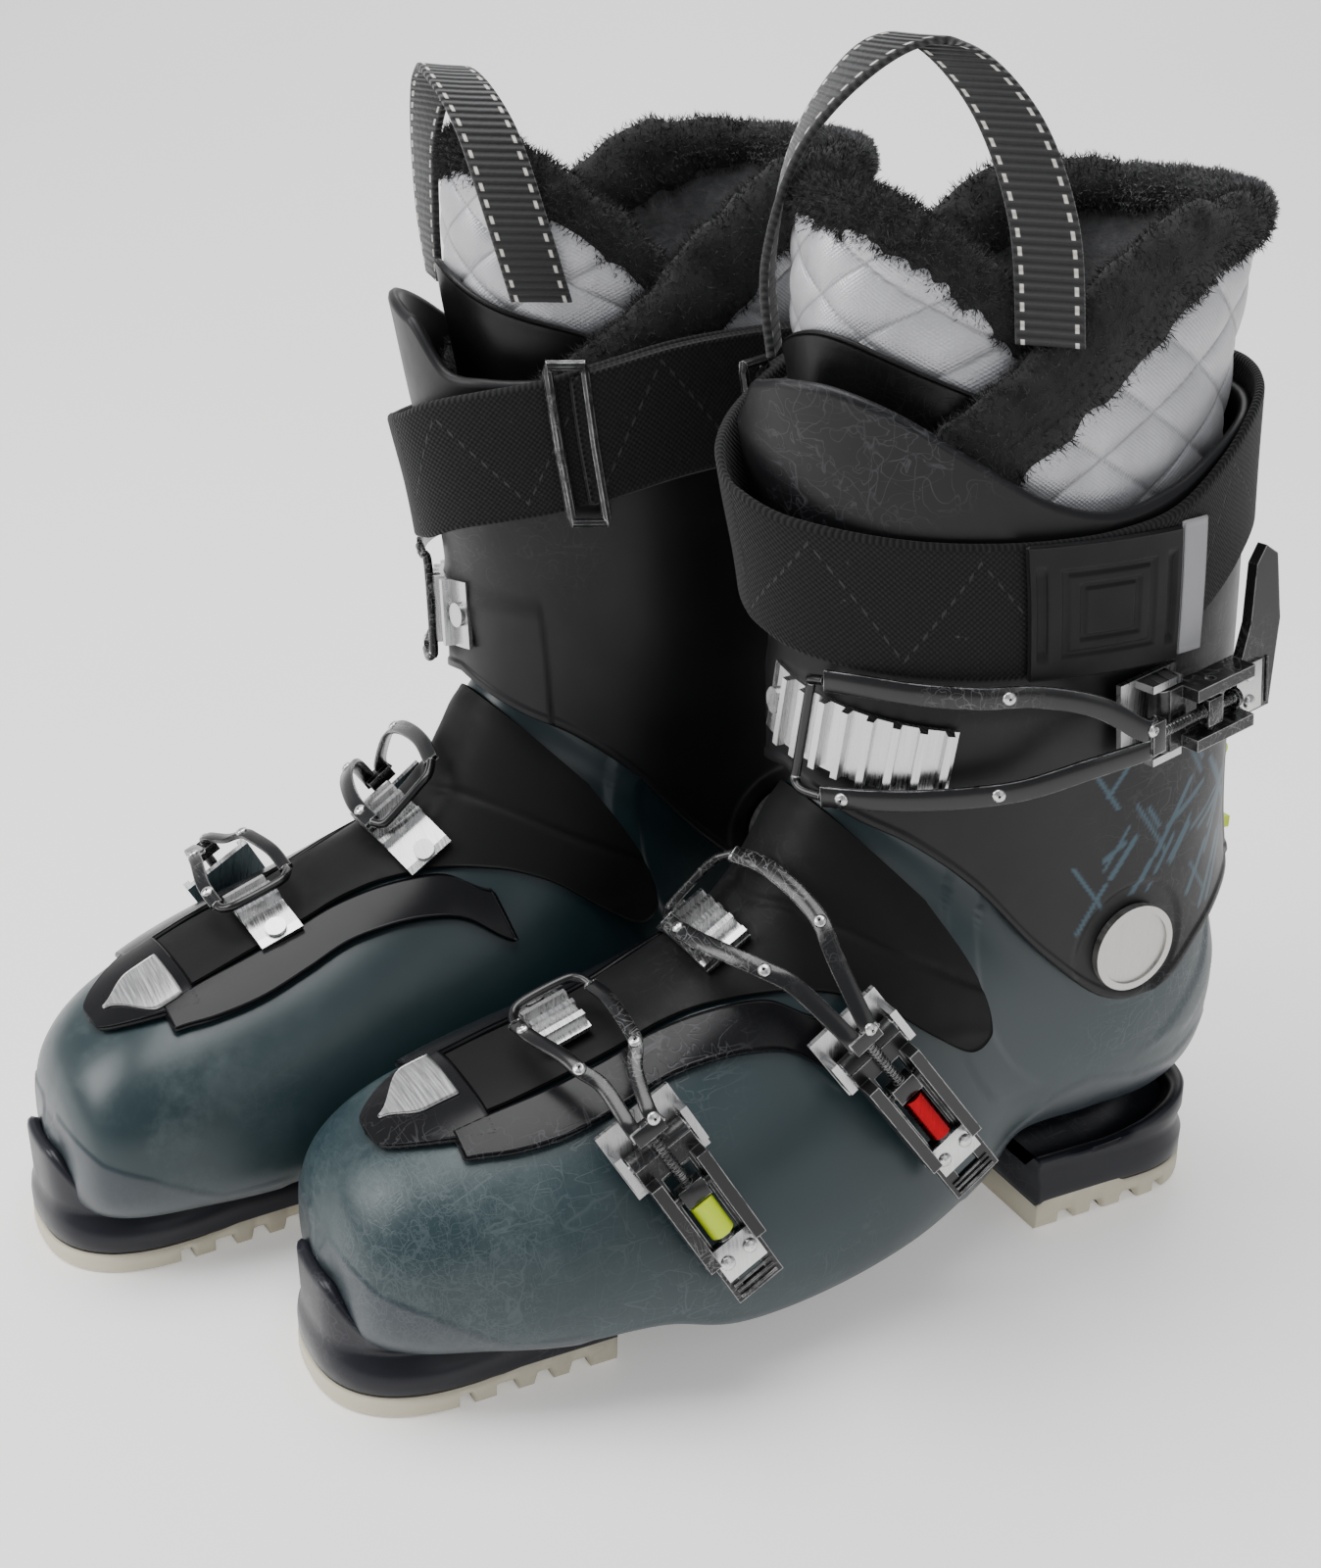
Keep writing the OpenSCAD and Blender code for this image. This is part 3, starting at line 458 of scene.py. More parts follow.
def teal_shell():
    n = Nodes("shell teal plastic")
    slate, dark, toe = n.attr("slate"), n.attr("dark"), n.attr("toe")
    mott = n.noise(9, 6, 0.6)
    teal = n.mix(n.ramp(mott, 0.3, 0.75), (0.0095, 0.0235, 0.028), (0.0135, 0.0315, 0.037))
    c = n.mix(slate, teal, (0.026, 0.035, 0.043))
    # painted shade: where the dark mask is 1 (the shell's top rim and inner wall) the teal is painted dark grey
    c = n.mix(dark, c, (0.011, 0.012, 0.014))
    s = n.scratches(34, 0.013, seed=1.3)
    s2 = n.scratches(80, 0.02, seed=4.1)
    dust = n.math("MULTIPLY", toe, n.ramp(n.noise(30, 7, 0.75), 0.42, 0.72))
    c = n.mix(n.math("MULTIPLY", dust, 0.5), c, (0.075, 0.1, 0.1))
    lines = n.math("MAXIMUM", s, n.math("MULTIPLY", s2, toe))
    c = n.mix(n.math("MULTIPLY", lines, 0.28), c, (0.13, 0.16, 0.17))
    r = n.math("ADD", n.ramp(n.noise(18, 6, 0.7), 0.3, 0.75, 0.3, 0.42), n.math("MULTIPLY", dust, 0.2))
    h = n.math("ADD", n.math("MULTIPLY", n.noise(700, 2, 0.5), 0.25), n.math("MULTIPLY", s, -0.8))
    return n.finish(c, r, 0.0, n.bump(h, 0.3, 0.15))


def webbing(name, color=(0.012, 0.012, 0.013), pitch=1.6, stitch=True, rib=False):
    """Woven band: u runs along it in mm, v across it."""
    n = Nodes(name)
    u, v = n.uv()
    a = n.math("SINE", n.math("MULTIPLY", u, 6.2832 / pitch))
    b = n.math("SINE", n.math("MULTIPLY", v, 6.2832 / (pitch * (1.1 if not rib else 2.2))))
    weave = n.math("MULTIPLY", a, b) if not rib else a
    h = n.math("ADD", n.math("MULTIPLY", weave, 0.5), n.noise(400, 3, 0.6))
    c = n.mix(n.ramp(weave, -0.4, 0.9), [x * 0.35 for x in color], [x * 1.9 for x in color])
    lint = n.ramp(n.noise(260, 4, 0.75), 0.66, 0.8)
    c = n.mix(n.math("MULTIPLY", lint, 0.5), c, (0.12, 0.12, 0.12))
    if stitch:
        # zigzag lines of stitching in two bands
        zig = n.math("PINGPONG", u, 22.0)
        line = n.math("ABSOLUTE", n.math("SUBTRACT", n.math("MULTIPLY", zig, 1.55), n.math("ADD", v, 17.0)))
        on = n.math("SUBTRACT", 1.0, n.ramp(line, 0.35, 0.9))
        dash = n.ramp(n.math("SINE", n.math("MULTIPLY", u, 6.2832 / 2.6)), -0.3, 0.2)
        on = n.math("MULTIPLY", on, dash)
        c = n.mix(on, c, (0.03, 0.03, 0.032))
        h = n.math("ADD", h, n.math("MULTIPLY", on, 1.6))
    return n.finish(c, 0.75, 0.0, n.bump(h, 0.7, 0.35), Sheen_Weight=0.08, Sheen_Roughness=0.5,
                    Specular_IOR_Level=0.2)


# ---------------------------------------------------------------- lofted pieces
def loft(rings, closed_u=False, caps=True):
    """Points and faces of closed rings (m, n, 3) skinned in order."""
    m, n = rings.shape[:2]
    faces = [grid_faces(m, n, closed_u, True)]
    if caps and not closed_u:
        faces += [fan_caps(n, 0)[:, ::-1], fan_caps(n, (m - 1) * n)]
    i, j = np.meshgrid(np.arange(m), np.arange(n), indexing="ij")
    return rings.reshape(-1, 3), np.concatenate(faces), np.stack([i, j], -1).reshape(-1, 2).astype(float)


def band(surface, low, high, d_in, d_out, a, rows, columns_round=3):
    """Rings of a hollow band round the leg with rounded rims: each ring goes round the leg once."""
    r = (d_out - d_in) / 2
    rings, height, depth = [], [], []
    for j in np.linspace(0, 1, rows):
        rings.append(surface(low + r + (high - low - 2 * r) * j, a, d_out))
        height.append(j)
        depth.append(0)
    for k in range(1, columns_round + 1):
        g = math.pi * k / (columns_round + 1)
        rings.append(surface(high - r + r * math.sin(g), a, d_out - r + r * math.cos(g)))
        height.append(1)
        depth.append(k / (columns_round + 1))
    for j in np.linspace(1, 0, rows):
        rings.append(surface(low + r + (high - low - 2 * r) * j, a, d_in))
        height.append(j)
        depth.append(1)
    for k in range(1, columns_round + 1):
        g = math.pi * k / (columns_round + 1)
        rings.append(surface(low + r - r * math.sin(g), a, d_in + r - r * math.cos(g)))
        height.append(0)
        depth.append(1 - k / (columns_round + 1))
    return np.array(rings), np.array(height), np.array(depth)


def pad(f, m, n, thick, edge_round=1.0):
    """A sheet with thickness. f(u, v, d) gives a point at depth d below the face, u, v in 0..1.
    The rim is round. Returns points, faces, uv and the depth of each point from 0 to 1."""
    r = thick / 2
    steps = 4
    u = np.linspace(0, 1, m)
    v = np.linspace(0, 1, n)
    U, V = np.meshgrid(u, v, indexing="ij")
    pts = [f(U, V, np.zeros_like(U)).reshape(-1, 3), f(U, V, np.full_like(U, thick)).reshape(-1, 3)]
    g = np.arange(m * n).reshape(m, n)
    loop = np.concatenate([g[0, :-1], g[:-1, -1], g[-1, :0:-1], g[:0:-1, 0]])
    top, bottom = pts[0][loop], pts[1][loop]
    # outward direction of the rim, in the surface
    inner = np.concatenate([g[1, :-1], g[:-1, -2], g[-2, :0:-1], g[:0:-1, 1]])
    out = unit(top - pts[0][inner])
    extra, L = [], len(loop)
    for k in range(1, steps):
        w = k / steps
        bulge = r * edge_round * math.sin(math.pi * w)
        extra.append(top * (1 - w) + bottom * w + out * bulge)
    pts = np.concatenate(pts + extra)
    rows = [loop] + [2 * m * n + L * k + np.arange(L) for k in range(steps - 1)] + [loop + m * n]
    faces = [grid_faces(m, n)[:, ::-1], grid_faces(m, n, start=m * n)]
    for p, q in zip(rows[:-1], rows[1:]):
        faces.append(np.stack([p, np.roll(p, -1), np.roll(q, -1), q], -1))
    depth = np.concatenate([np.zeros(m * n), np.ones(m * n)] + [np.full(L, k / steps) for k in range(1, steps)])
    uv = np.concatenate([np.stack([U, V], -1).reshape(-1, 2)] * 2)
    uv = np.concatenate([uv, np.tile(uv[loop], (steps - 1, 1))])
    return pts, np.concatenate(faces)[:, ::-1], uv, depth


def girth(surface, a, z, d=0.0):
    """Distance in mm along a line round the leg."""
    p = surface(z, a, d)
    return np.concatenate([[0], np.cumsum(np.linalg.norm(np.diff(p, axis=0), axis=1))])


def cuff_at(z, a, d):
    return leg_out(CUFF, z, a, d)


def both(name, made, body, mat, node=None, slot=None, **more):
    """The same piece on the two boots."""
    obs = []
    for side in SIDES:
        obs.append(mesh_piece(name, made[0], made[1], side, body, mat, node, slot, uv=made[2], **more))
    return obs


# ---------------------------------------------------------------- lower shell
M_TEAL = teal_shell()
SHELL_WALL = 4.4


def lower_shell():
    rows, count = 260, 320
    t = np.linspace(0, 17, rows)
    a = -90 + 360 * (np.arange(count) + 0.5) / count
    T, A = np.meshgrid(t, a, indexing="ij")
    base = clog(T, A)
    y, z = base[..., 1], base[..., 2]
    # slate panel: a band round the toe and one behind the arch on the heel side
    edge_z = np.interp(y, [-153, -146, -134, -113, -92, -80], [52, 46, 42, 31, 33, 18])
    toe_panel = (1 - smooth(z - edge_z, -0.6, 0.6)) * (1 - smooth(y, -92, -90))
    arch = np.interp(y, [57, 73, 83, 95, 116, 134, 152], [41, 46, 57, 60, 54, 54, 64])
    heel_panel = (1 - smooth(z - arch, -0.6, 0.6)) * smooth(y - 46 + (z - 30) * 0.35, 0, 1.5)
    slate = np.clip(toe_panel + heel_panel, 0, 1)
    # raised swoosh lines round the ankle
    c = (y - 96) ** 2 / 52 ** 2 + (z - 118) ** 2 / 58 ** 2
    ankle = smooth(c, 0.97, 1.03) - smooth(c, 1.45, 1.52)
    ankle = ankle * smooth(z, 62, 70) * (1 - smooth(z, 150, 158))
    side_wall = smooth(np.abs(np.cos(np.radians(A))), 0.3, 0.6)
    outer_wall = smooth(np.cos(np.radians(A)), 0.2, 0.7)
    fuller = 2.2 * np.exp(-((y + 25) / 60) ** 2) * np.exp(-((z - 34) / 20) ** 2) * outer_wall
    d = 0.5 * slate * side_wall + 0.7 * ankle * side_wall * smooth(T, 6, 9) + fuller
    outer_pts = base + d[..., None] * clog_normal(T, A)
    rings = []
    first = outer_pts[0]
    mid = first.mean(0)
    for s in (0.08, 0.3, 0.55, 0.8, 0.93):
        rings.append(mid + (first - mid) * s + np.array([0, -1.6 * (1 - s * s), 0]))
    n_cap = len(rings)
    rings += list(outer_pts)
    last = 17.0
    for g in (30, 60, 90, 120, 150):
        g = math.radians(g)
        rings.append(clog_out(last, a, (math.cos(g) - 1) * SHELL_WALL / 2) + np.array([0, 0, 1]) * 1.6 * math.sin(g))
    for tt in np.linspace(last, 1.2, 60):
        rings.append(clog_out(tt, a, -SHELL_WALL))
    rings = np.array(rings)
    made = loft(rings)
    mask = lambda inside, front, back: np.concatenate(
        [np.full((n_cap, count), front), inside, np.full((65, count), back)]).ravel()
    toe = smooth(-y, 60, 135) * (1 - smooth(z, 70, 95) * 0.4)
    # dark is 1 on the top rim and inner wall rows, which the shader paints dark grey as painted shade inside the
    # shell
    masks = dict(slate=mask(slate, 1.0, 0.0), toe=mask(toe, 1.0, 0.0),
                 dark=mask(np.zeros_like(slate), 0.0, 1.0))
    both("lower_shell", made, "lower", M_TEAL, "lower_shell", "shell_teal", masks=masks)


lower_shell()

# ---------------------------------------------------------------- overlay, trim and badge
M_SOFT = plastic("soft black overlay", (0.0075, 0.0075, 0.008), rough=0.55, grain=0.5, scratch=0.3,
                 light=(0.07, 0.07, 0.075), grime=0.2, shine=0.14)
M_GLOSS = plastic("gloss black trim", (0.006, 0.006, 0.007), rough=0.24, grain=0.05, scratch=0.35,
                  light=(0.16, 0.16, 0.17), shine=0.2)
OVERLAY_EDGE = [62, 61, 61, 61, 60, 57, 51, 44, 36, 28, 18, 4, -8, -6, 10, 31]
TRIM_LOW = [50, 46, 44, 45, 46, 44, 40, 33, 20]
TRIM_HIGH = [62, 62, 61, 61, 61, 58, 53, 46, 34]


def clog_pad(t0, t1, a0, a1, d_in, d_out, m, n, relief=None):
    """A plate on the lower shell; a0 and a1 are functions of the fraction along it."""
    def f(U, V, depth):
        t = t0 + (t1 - t0) * U
        lo, hi = a0(U), a1(U)
        a = lo + (hi - lo) * V
        d = d_out - depth
        if relief is not None:
            d = d + relief(t, a) * (1 - depth / (d_out - d_in))
        return clog_out(t, a, d)
    return pad(f, m, n, d_out - d_in, 0.8)


def overlay():
    e = lambda u: along(OVERLAY_EDGE, u * 15)

    def relief(t, a):
        crease = -0.8 * np.exp(-((t - 8.7 - 0.02 * (a - 90) ** 2 / 40) / 0.1) ** 2)
        rib = 0.5 * np.exp(-((t - 6.2 - 0.0006 * (a - 90) ** 2) / 0.25) ** 2)
        return crease * smooth(t, 8, 8.4) + rib
    pts, faces, uv, depth = clog_pad(4.4, 12.4, lambda u: e(u) + 4, lambda u: 176 - e(u), 0.8, 2.0,
                                     180, 140, relief)
    both("instep_overlay", (pts, faces, uv), "lower", M_SOFT, "instep_overlay", "soft_black")


def trim():
    low = lambda u: along(TRIM_LOW, 8 * u)
    high = lambda u: along(TRIM_HIGH, 8 * u)
    front = clog_pad(3.05, 4.65, lambda u: 80 - 26 * u ** 0.6, lambda u: 100 + 26 * u ** 0.6, 0.6, 2.8, 40, 60)
    outer = clog_pad(4.2, 8.6, low, high, 0.6, 2.8, 110, 20)
    inner = clog_pad(4.2, 8.6, lambda u: 180 - high(u), lambda u: 180 - low(u), 0.6, 2.8, 110, 20)
    made = join([p[:3] for p in (front, outer, inner)])
    both("toe_trim", made, "lower", M_GLOSS, "toe_trim", "gloss_black")


def badge():
    low = lambda u: 92 - 12 * smooth(u, 0, 0.6)
    high = lambda u: 94 + 24 * smooth(u, 0, 0.7)
    pts, faces, uv, depth = clog_pad(3.4, 4.5, low, high, 2.75, 3.6, 24, 30)
    both("toe_badge", (pts, faces, uv), "lower", M_BADGE, "toe_badge", "badge")


M_BADGE = metal("worn badge plate", (0.62, 0.62, 0.62), 0.38)
overlay()
trim()
badge()

# ---------------------------------------------------------------- cuff
def cuff_material():
    n = Nodes("cuff black with stripes")
    s = n.scratches(34, 0.011, seed=2.2)
    c = n.mix(n.ramp(n.noise(12, 6, 0.6), 0.4, 0.8), (0.006, 0.006, 0.007), (0.009, 0.009, 0.01))
    c = n.mix(n.math("MULTIPLY", s, 0.35), c, (0.1, 0.1, 0.11))
    c = n.mix(n.attr("stripe"), c, (0.045, 0.085, 0.11))
    dust = n.ramp(n.noise(40, 7, 0.8), 0.6, 0.78)
    c = n.mix(n.math("MULTIPLY", dust, 0.12), c, (0.09, 0.09, 0.09))
    r = n.ramp(n.noise(20, 6, 0.7), 0.3, 0.75, 0.36, 0.5)
    h = n.math("ADD", n.math("MULTIPLY", n.noise(800, 2, 0.5), 0.35), n.math("MULTIPLY", s, -0.6))
    return n.finish(c, r, 0.0, n.bump(h, 0.3, 0.15), Specular_IOR_Level=0.3)


def segment_mask(px, py, p, q, w):
    """1 within w/2 of the segment p-q."""
    p, q = np.array(p, float), np.array(q, float)
    d = q - p
    f = np.clip(((px - p[0]) * d[0] + (py - p[1]) * d[1]) / (d @ d), 0, 1)
    dist = np.hypot(px - p[0] - f * d[0], py - p[1] - f * d[1])
    return 1 - smooth(dist, w / 2 - 0.25, w / 2 + 0.25)


CUFF_WALL = 3.8
PIVOT_Y, PIVOT_Z = 96.5, 113.5


def cuff():
    rows, count = 200, 480
    a = -90 + 360 * (np.arange(count) + 0.5) / count
    low, high = edge(CUFF_LOW, a), edge(CUFF_HIGH, a)

    def relief(z, a):
        w = (np.asarray(a) + 180) % 360 - 180
        # outer flap lies over the inner one in front
        line = -128 + (z - 165) * 0.06
        flap = smooth(w, line - 0.5, line + 0.5) * (1 - smooth(w, 20, 60)) * (1 - smooth(z, 196, 206))
        ear = np.hypot(leg(CUFF, z, a)[..., 1] - PIVOT_Y, z - PIVOT_Z)
        ear = 1.0 * (1 - smooth(ear, 20.5, 22)) * smooth(np.abs(np.cos(np.radians(w))), 0.5, 0.7)
        back = 1.4 * (smooth(w, 62, 66) - smooth(w, 114, 118)) * (1 - smooth(z, 205, 214))
        lip = 1.2 * (smooth(z - edge(CUFF_LOW, a), 0, 1) - smooth(z - edge(CUFF_LOW, a), 4.0, 5.0))
        return 1.2 * flap - 0.8 * ear + back * 0.8 + 0.5 * lip

    def surface(z, a, d):
        return leg_out(CUFF, z, a, d + (relief(z, a) if np.max(d) > -0.5 else 0))
    rings, height, depth = band(surface, low, high, -CUFF_WALL, 0, a, rows)
    made = loft(rings, True)
    # stripe graphic on the outer side: crossing bars of mixed lengths
    z = rings[..., 2]
    y = rings[..., 1]
    rng = np.random.default_rng(7)
    stripe = np.zeros(rings.shape[:2])
    for _ in range(30):
        cy, cz = rng.uniform(76, 142), rng.uniform(128, 176)
        ang = rng.choice([0.98, 1.05, 2.25, 1.12, 0.55])
        ln = rng.uniform(8, 26)
        p = (cy - ln / 2 * math.cos(ang), cz - ln / 2 * math.sin(ang))
        q = (cy + ln / 2 * math.cos(ang), cz + ln / 2 * math.sin(ang))
        stripe = np.maximum(stripe, segment_mask(y, z, p, q, rng.uniform(1.0, 2.2)))
    on = (rings[..., 0] > 15) & (depth[:, None] == 0)
    hub = np.hypot(y - PIVOT_Y, z - PIVOT_Z) > 18
    stripe = stripe * on * hub
    both("cuff_shell", made, "cuff", cuff_material(), "cuff_shell", "cuff_black", masks=dict(stripe=stripe))


cuff()


# ---------------------------------------------------------------- power strap
M_STRAP = webbing("black webbing", (0.006, 0.006, 0.0065), 1.7)
M_PATCH = plastic("rubber patch", (0.007, 0.007, 0.0075), 0.5, 0.5, 0.2, (0.05, 0.05, 0.05), shine=0.2)
M_LABEL = plastic("pale blank label", (0.3, 0.3, 0.31), 0.45, 0.3, 0.5, (0.12, 0.12, 0.12))


STRAP_H = 42
STRAP_BULGE = 8


def strap():
    count = 400
    a = -90 + 360 * (np.arange(count) + 0.5) / count
    mid = edge(STRAP_MID, a)
    front = np.minimum(np.abs(a + 90), 360 - np.abs(a + 90))
    lift = STRAP_BULGE * np.exp(-(front / 22) ** 2)
    wave = 0.35 * np.sin(np.radians(a * 5 + 20)) + 0.25 * np.sin(np.radians(a * 9))

    def surface(z, a, d):
        return leg_out(CUFF, z, a, d + lift + (wave if np.max(d) > 2 else 0))
    half = STRAP_H / 2
    rings, height, depth = band(surface, mid - half, mid + half, 0.4, 3.4, a, 26)
    made = loft(rings, True)
    g = girth(cuff_at, np.append(a, a[0] + 360), np.append(mid, mid[0]))[:count]
    uv = np.stack(np.broadcast_arrays(g[None, :], (height[:, None] - 0.5) * STRAP_H), -1).reshape(-1, 2)
    both("power_strap", (made[0], made[1], uv), "cuff", M_STRAP, "power_strap", "webbing")


def strap_patch():
    # outer side: rubber end patch with two slots and a plain nested square, then a pale label
    def f(U, V, d):
        a = -22 + 36 * V
        z = 212 + 40.5 * U
        zz = z - 232
        relief = np.zeros_like(a)
        sq = np.maximum(np.abs(zz) / 13, np.abs(a + 4) / 11)
        for lo, hi, h in ((0.86, 1.0, -0.6), (0.52, 0.64, -0.6)):
            relief += h * (smooth(sq, lo, lo + 0.04) - smooth(sq, hi, hi + 0.04))
        for c in (-19.5, 11.5):
            slot = np.maximum(np.abs(zz) / 14, np.abs(a - c) / 1.2)
            relief -= 1.2 * (1 - smooth(slot, 0.8, 1.1))
        return leg_out(CUFF, z, a, 5.4 - d + relief * (d < 0.1))
    pts, faces, uv, depth = pad(f, 90, 150, 2.0, 0.6)
    both("strap_patch", (pts, faces, uv), "cuff", M_PATCH, None, "webbing")

    def g(U, V, d):
        return leg_out(CUFF, 213 + 41 * U, 14.8 + 7 * V, 5.0 - d)
    pts, faces, uv, depth = pad(g, 20, 12, 1.2, 0.6)
    both("strap_label", (pts, faces, uv), "cuff", M_LABEL, None, "webbing")


def strap_fold():
    # inner side: the end that goes through the ring and is sewn back on itself
    count = 90
    a = np.linspace(150, 217, count)

    def f(U, V, d):
        aa = 150 + 67 * V
        mid = edge(STRAP_MID, aa)
        return leg_out(CUFF, mid + (U - 0.5) * 40, aa, 6.0 - d)
    pts, faces, uv, depth = pad(f, 26, count, 2.2, 0.8)
    g = girth(cuff_at, a, edge(STRAP_MID, a))
    u = np.interp(uv[:, 1], np.linspace(0, 1, count), g)
    both("strap_fold", (pts, faces, np.stack([u, (uv[:, 0] - 0.5) * 40], -1)), "cuff", M_STRAP, None, "webbing")


strap()
strap_patch()
strap_fold()


# ---------------------------------------------------------------- liner
def quilt(name):
    n = Nodes(name)
    u, v = n.uv()
    thread = 5.2
    weave = n.math("MULTIPLY", n.math("SINE", n.math("MULTIPLY", u, thread)),
                   n.math("SINE", n.math("MULTIPLY", v, thread)))
    wrinkle = n.noise(90, 6, 0.7, distortion=1.2)
    c = n.mix(n.ramp(n.noise(24, 5, 0.6), 0.35, 0.75), (0.47, 0.47, 0.49), (0.63, 0.63, 0.65))
    c = n.mix(n.attr("seam"), c, (0.3, 0.3, 0.31))
    grime = n.ramp(n.noise(16, 6, 0.8), 0.62, 0.78)
    c = n.mix(n.math("MULTIPLY", grime, 0.35), c, (0.2, 0.17, 0.14))
    h = n.math("ADD", n.math("MULTIPLY", weave, 0.12), wrinkle)
    r = n.ramp(wrinkle, 0.3, 0.7, 0.32, 0.5)
    return n.finish(c, r, 0.45, n.bump(h, 0.5, 0.8), Sheen_Weight=0.2)


def fur(name, color, tip):
    n = Nodes(name)
    c = n.mix(n.ramp(n.noise(160, 5, 0.7), 0.4, 0.75), color, tip)
    h = n.math("ADD", n.noise(350, 6, 0.8), n.math("MULTIPLY", n.noise(90, 3, 0.6), 1.5))
    return n.finish(c, 0.95, 0.0, n.bump(h, 0.9, 1.2), Sheen_Weight=0.12, Sheen_Roughness=0.6)


M_QUILT = quilt("silver quilted fabric")
M_FUR = fur("black pile rim", (0.003, 0.003, 0.0033), (0.008, 0.008, 0.0085))
M_FLEECE = fur("grey pile lining", (0.075, 0.075, 0.078), (0.14, 0.14, 0.145))
M_TONGUE = plastic("tongue shield plastic", (0.005, 0.005, 0.0055), 0.38, 0.4, 0.15, (0.07, 0.07, 0.07))


def quilted(u, v, pitch, deep):
    """Puff height of diamond quilting and how near a point is to a seam."""
    p = np.abs(np.sin(math.pi * (u + v * 1.15) / pitch))
    q = np.abs(np.sin(math.pi * (u - v * 1.15) / pitch))
    return deep * (p * q) ** 0.45, 1 - smooth(np.minimum(p, q), 0.03, 0.1)


def pile(name, pts, normals, body, side, mat, slot, rng, count_per, length, radius, lean=0.5):
    """Short fibres: thin triangles standing on given points."""
    k = rng.integers(0, len(pts), count_per)
    base = pts[k] + rng.normal(0, 0.35, (count_per, 3))
    d = unit(normals[k] + rng.normal(0, lean, (count_per, 3)))
    side_dir = unit(np.cross(d, rng.normal(0, 1, (count_per, 3))))
    ln = length * rng.uniform(0.55, 1.2, (count_per, 1))
    w = radius * rng.uniform(0.7, 1.3, (count_per, 1))
    curl = unit(rng.normal(0, 1, (count_per, 3)))
    mid = base + d * ln * 0.55 + curl * ln * 0.1
    tip = base + d * ln + curl * ln * 0.35
    p = np.stack([base - side_dir * w, base + side_dir * w, mid + side_dir * w * 0.7, mid - side_dir * w * 0.7,
                  tip], 1).reshape(-1, 3)
    i = np.arange(count_per)[:, None] * 5
    faces = np.concatenate([i + [0, 1, 2], i + [0, 2, 3], i + [3, 2, 4]])
    return mesh_piece(name, p, faces, side, body, mat, None, slot)


def lumpy(m, n, seed, amount, cell=4):
    rng = np.random.default_rng(seed)
    base = rng.normal(0, 1, (m // cell + 3, n // cell + 3))
    base[:, -1] = base[:, 0]
    i = np.linspace(0, base.shape[0] - 2.001, m)
    j = np.linspace(0, base.shape[1] - 2.001, n)
    I, J = np.meshgrid(i, j, indexing="ij")
    i0, j0 = I.astype(int), J.astype(int)
    fi, fj = smooth(I - i0, 0, 1), smooth(J - j0, 0, 1)
    v = (base[i0, j0] * (1 - fi) * (1 - fj) + base[i0 + 1, j0] * fi * (1 - fj)
         + base[i0, j0 + 1] * (1 - fi) * fj + base[i0 + 1, j0 + 1] * fi * fj)
    return 1 + amount * v


def soft_panel(quilt_name, lining_name, node, f, rows, columns, thick, mm_at, pitch, deep):
    """A padded panel: quilting on its outer face and pile on its inner one.
    mm_at turns the panel's own u, v into millimetres round and up the leg."""
    pts, faces, uv, depth = pad(f, rows, columns, thick, 0.7)
    arc, z = mm_at(uv)
    _, seam = quilted(arc, z, pitch, deep)
    outside = (depth < 0.01)[faces].all(1)
    uv_mm = np.stack([arc, z], -1)
    obs = both(quilt_name, (pts, faces[outside], uv_mm), "cuff", M_QUILT, node, "liner_silver",
               masks=dict(seam=seam))
    obs += both(lining_name, (pts, faces[~outside], uv_mm), "cuff", M_FLEECE, node, "liner_dark")


def soft_rim(name, path, outward, r_out, r_up, lumps):
    """A soft roll along a path: an ellipse in the plane of outward and up.
    Returns its points and their directions."""
    up = unit(np.cross(unit(np.gradient(path, axis=0)), outward))
    up = up * np.sign(up[:, 2:3] + 1e-6)
    ang = np.linspace(0, 2 * math.pi, lumps.shape[1], endpoint=False)[None, :, None]
    off = np.cos(ang) * outward[:, None] * r_out + np.sin(ang) * up[:, None] * r_up
    rings = path[:, None] + lumps[..., None] * off
    for ob in both(name, loft(rings), "cuff", M_FUR, None, "liner_dark"):
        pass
    return rings.reshape(-1, 3), unit((rings - path[:, None]).reshape(-1, 3))


def outward_at(top, a):
    return unit(leg_out(LINER, top, a, 1) - leg_out(LINER, top, a, 0))


def liner_cuff():
    a0, a1 = -52, 232
    pitch, deep, radius = 26, 1.6, 52

    def span(U, V):
        a = a0 + (a1 - a0) * V
        lo, hi = edge(LINER_LOW, a), edge(LINER_HIGH, a) - 4
        return a, lo + (hi - lo) * U, hi

    def f(U, V, d):
        a, z, hi = span(U, V)
        puff, _ = quilted(np.radians(a) * radius, z, pitch, deep)
        return leg_out(LINER, z, a, -1.6 + puff * smooth(hi - z, 5, 14) * (d < 0.01) - d)

    def mm_at(uv):
        a, z, _ = span(uv[:, 0], uv[:, 1])
        return np.radians(a) * radius, z
    soft_panel("liner_cuff", "liner_lining", "liner_cuff", f, 220, 420, 7.4, mm_at, pitch, deep)
    # pile rim over the top edge, thickest where the collar comes forward
    sides = 28
    rim = np.linspace(a0 - 1, a1 + 1, 260)
    from_back = np.abs(rim - 90)
    top = edge(LINER_HIGH, rim)
    r_up = 8.0 + 6.0 * smooth(from_back, 40, 80)
    p, n = soft_rim("liner_rim", leg_out(LINER, top - 8, rim, -4.6), outward_at(top, rim), 6.6,
                    r_up[:, None, None], lumpy(260, sides, 5, 0.07))
    dark = np.repeat(from_back > 40, sides)
    rng = np.random.default_rng(11)
    for side in SIDES:
        pile("liner_rim_pile", p[dark], n[dark], "cuff", side, M_FUR, "liner_dark", rng, 22000, 2.6, 0.16)
        pile("liner_back_pile", p[~dark], n[~dark], "cuff", side, M_FLEECE, "liner_dark", rng, 12000, 1.6, 0.14)


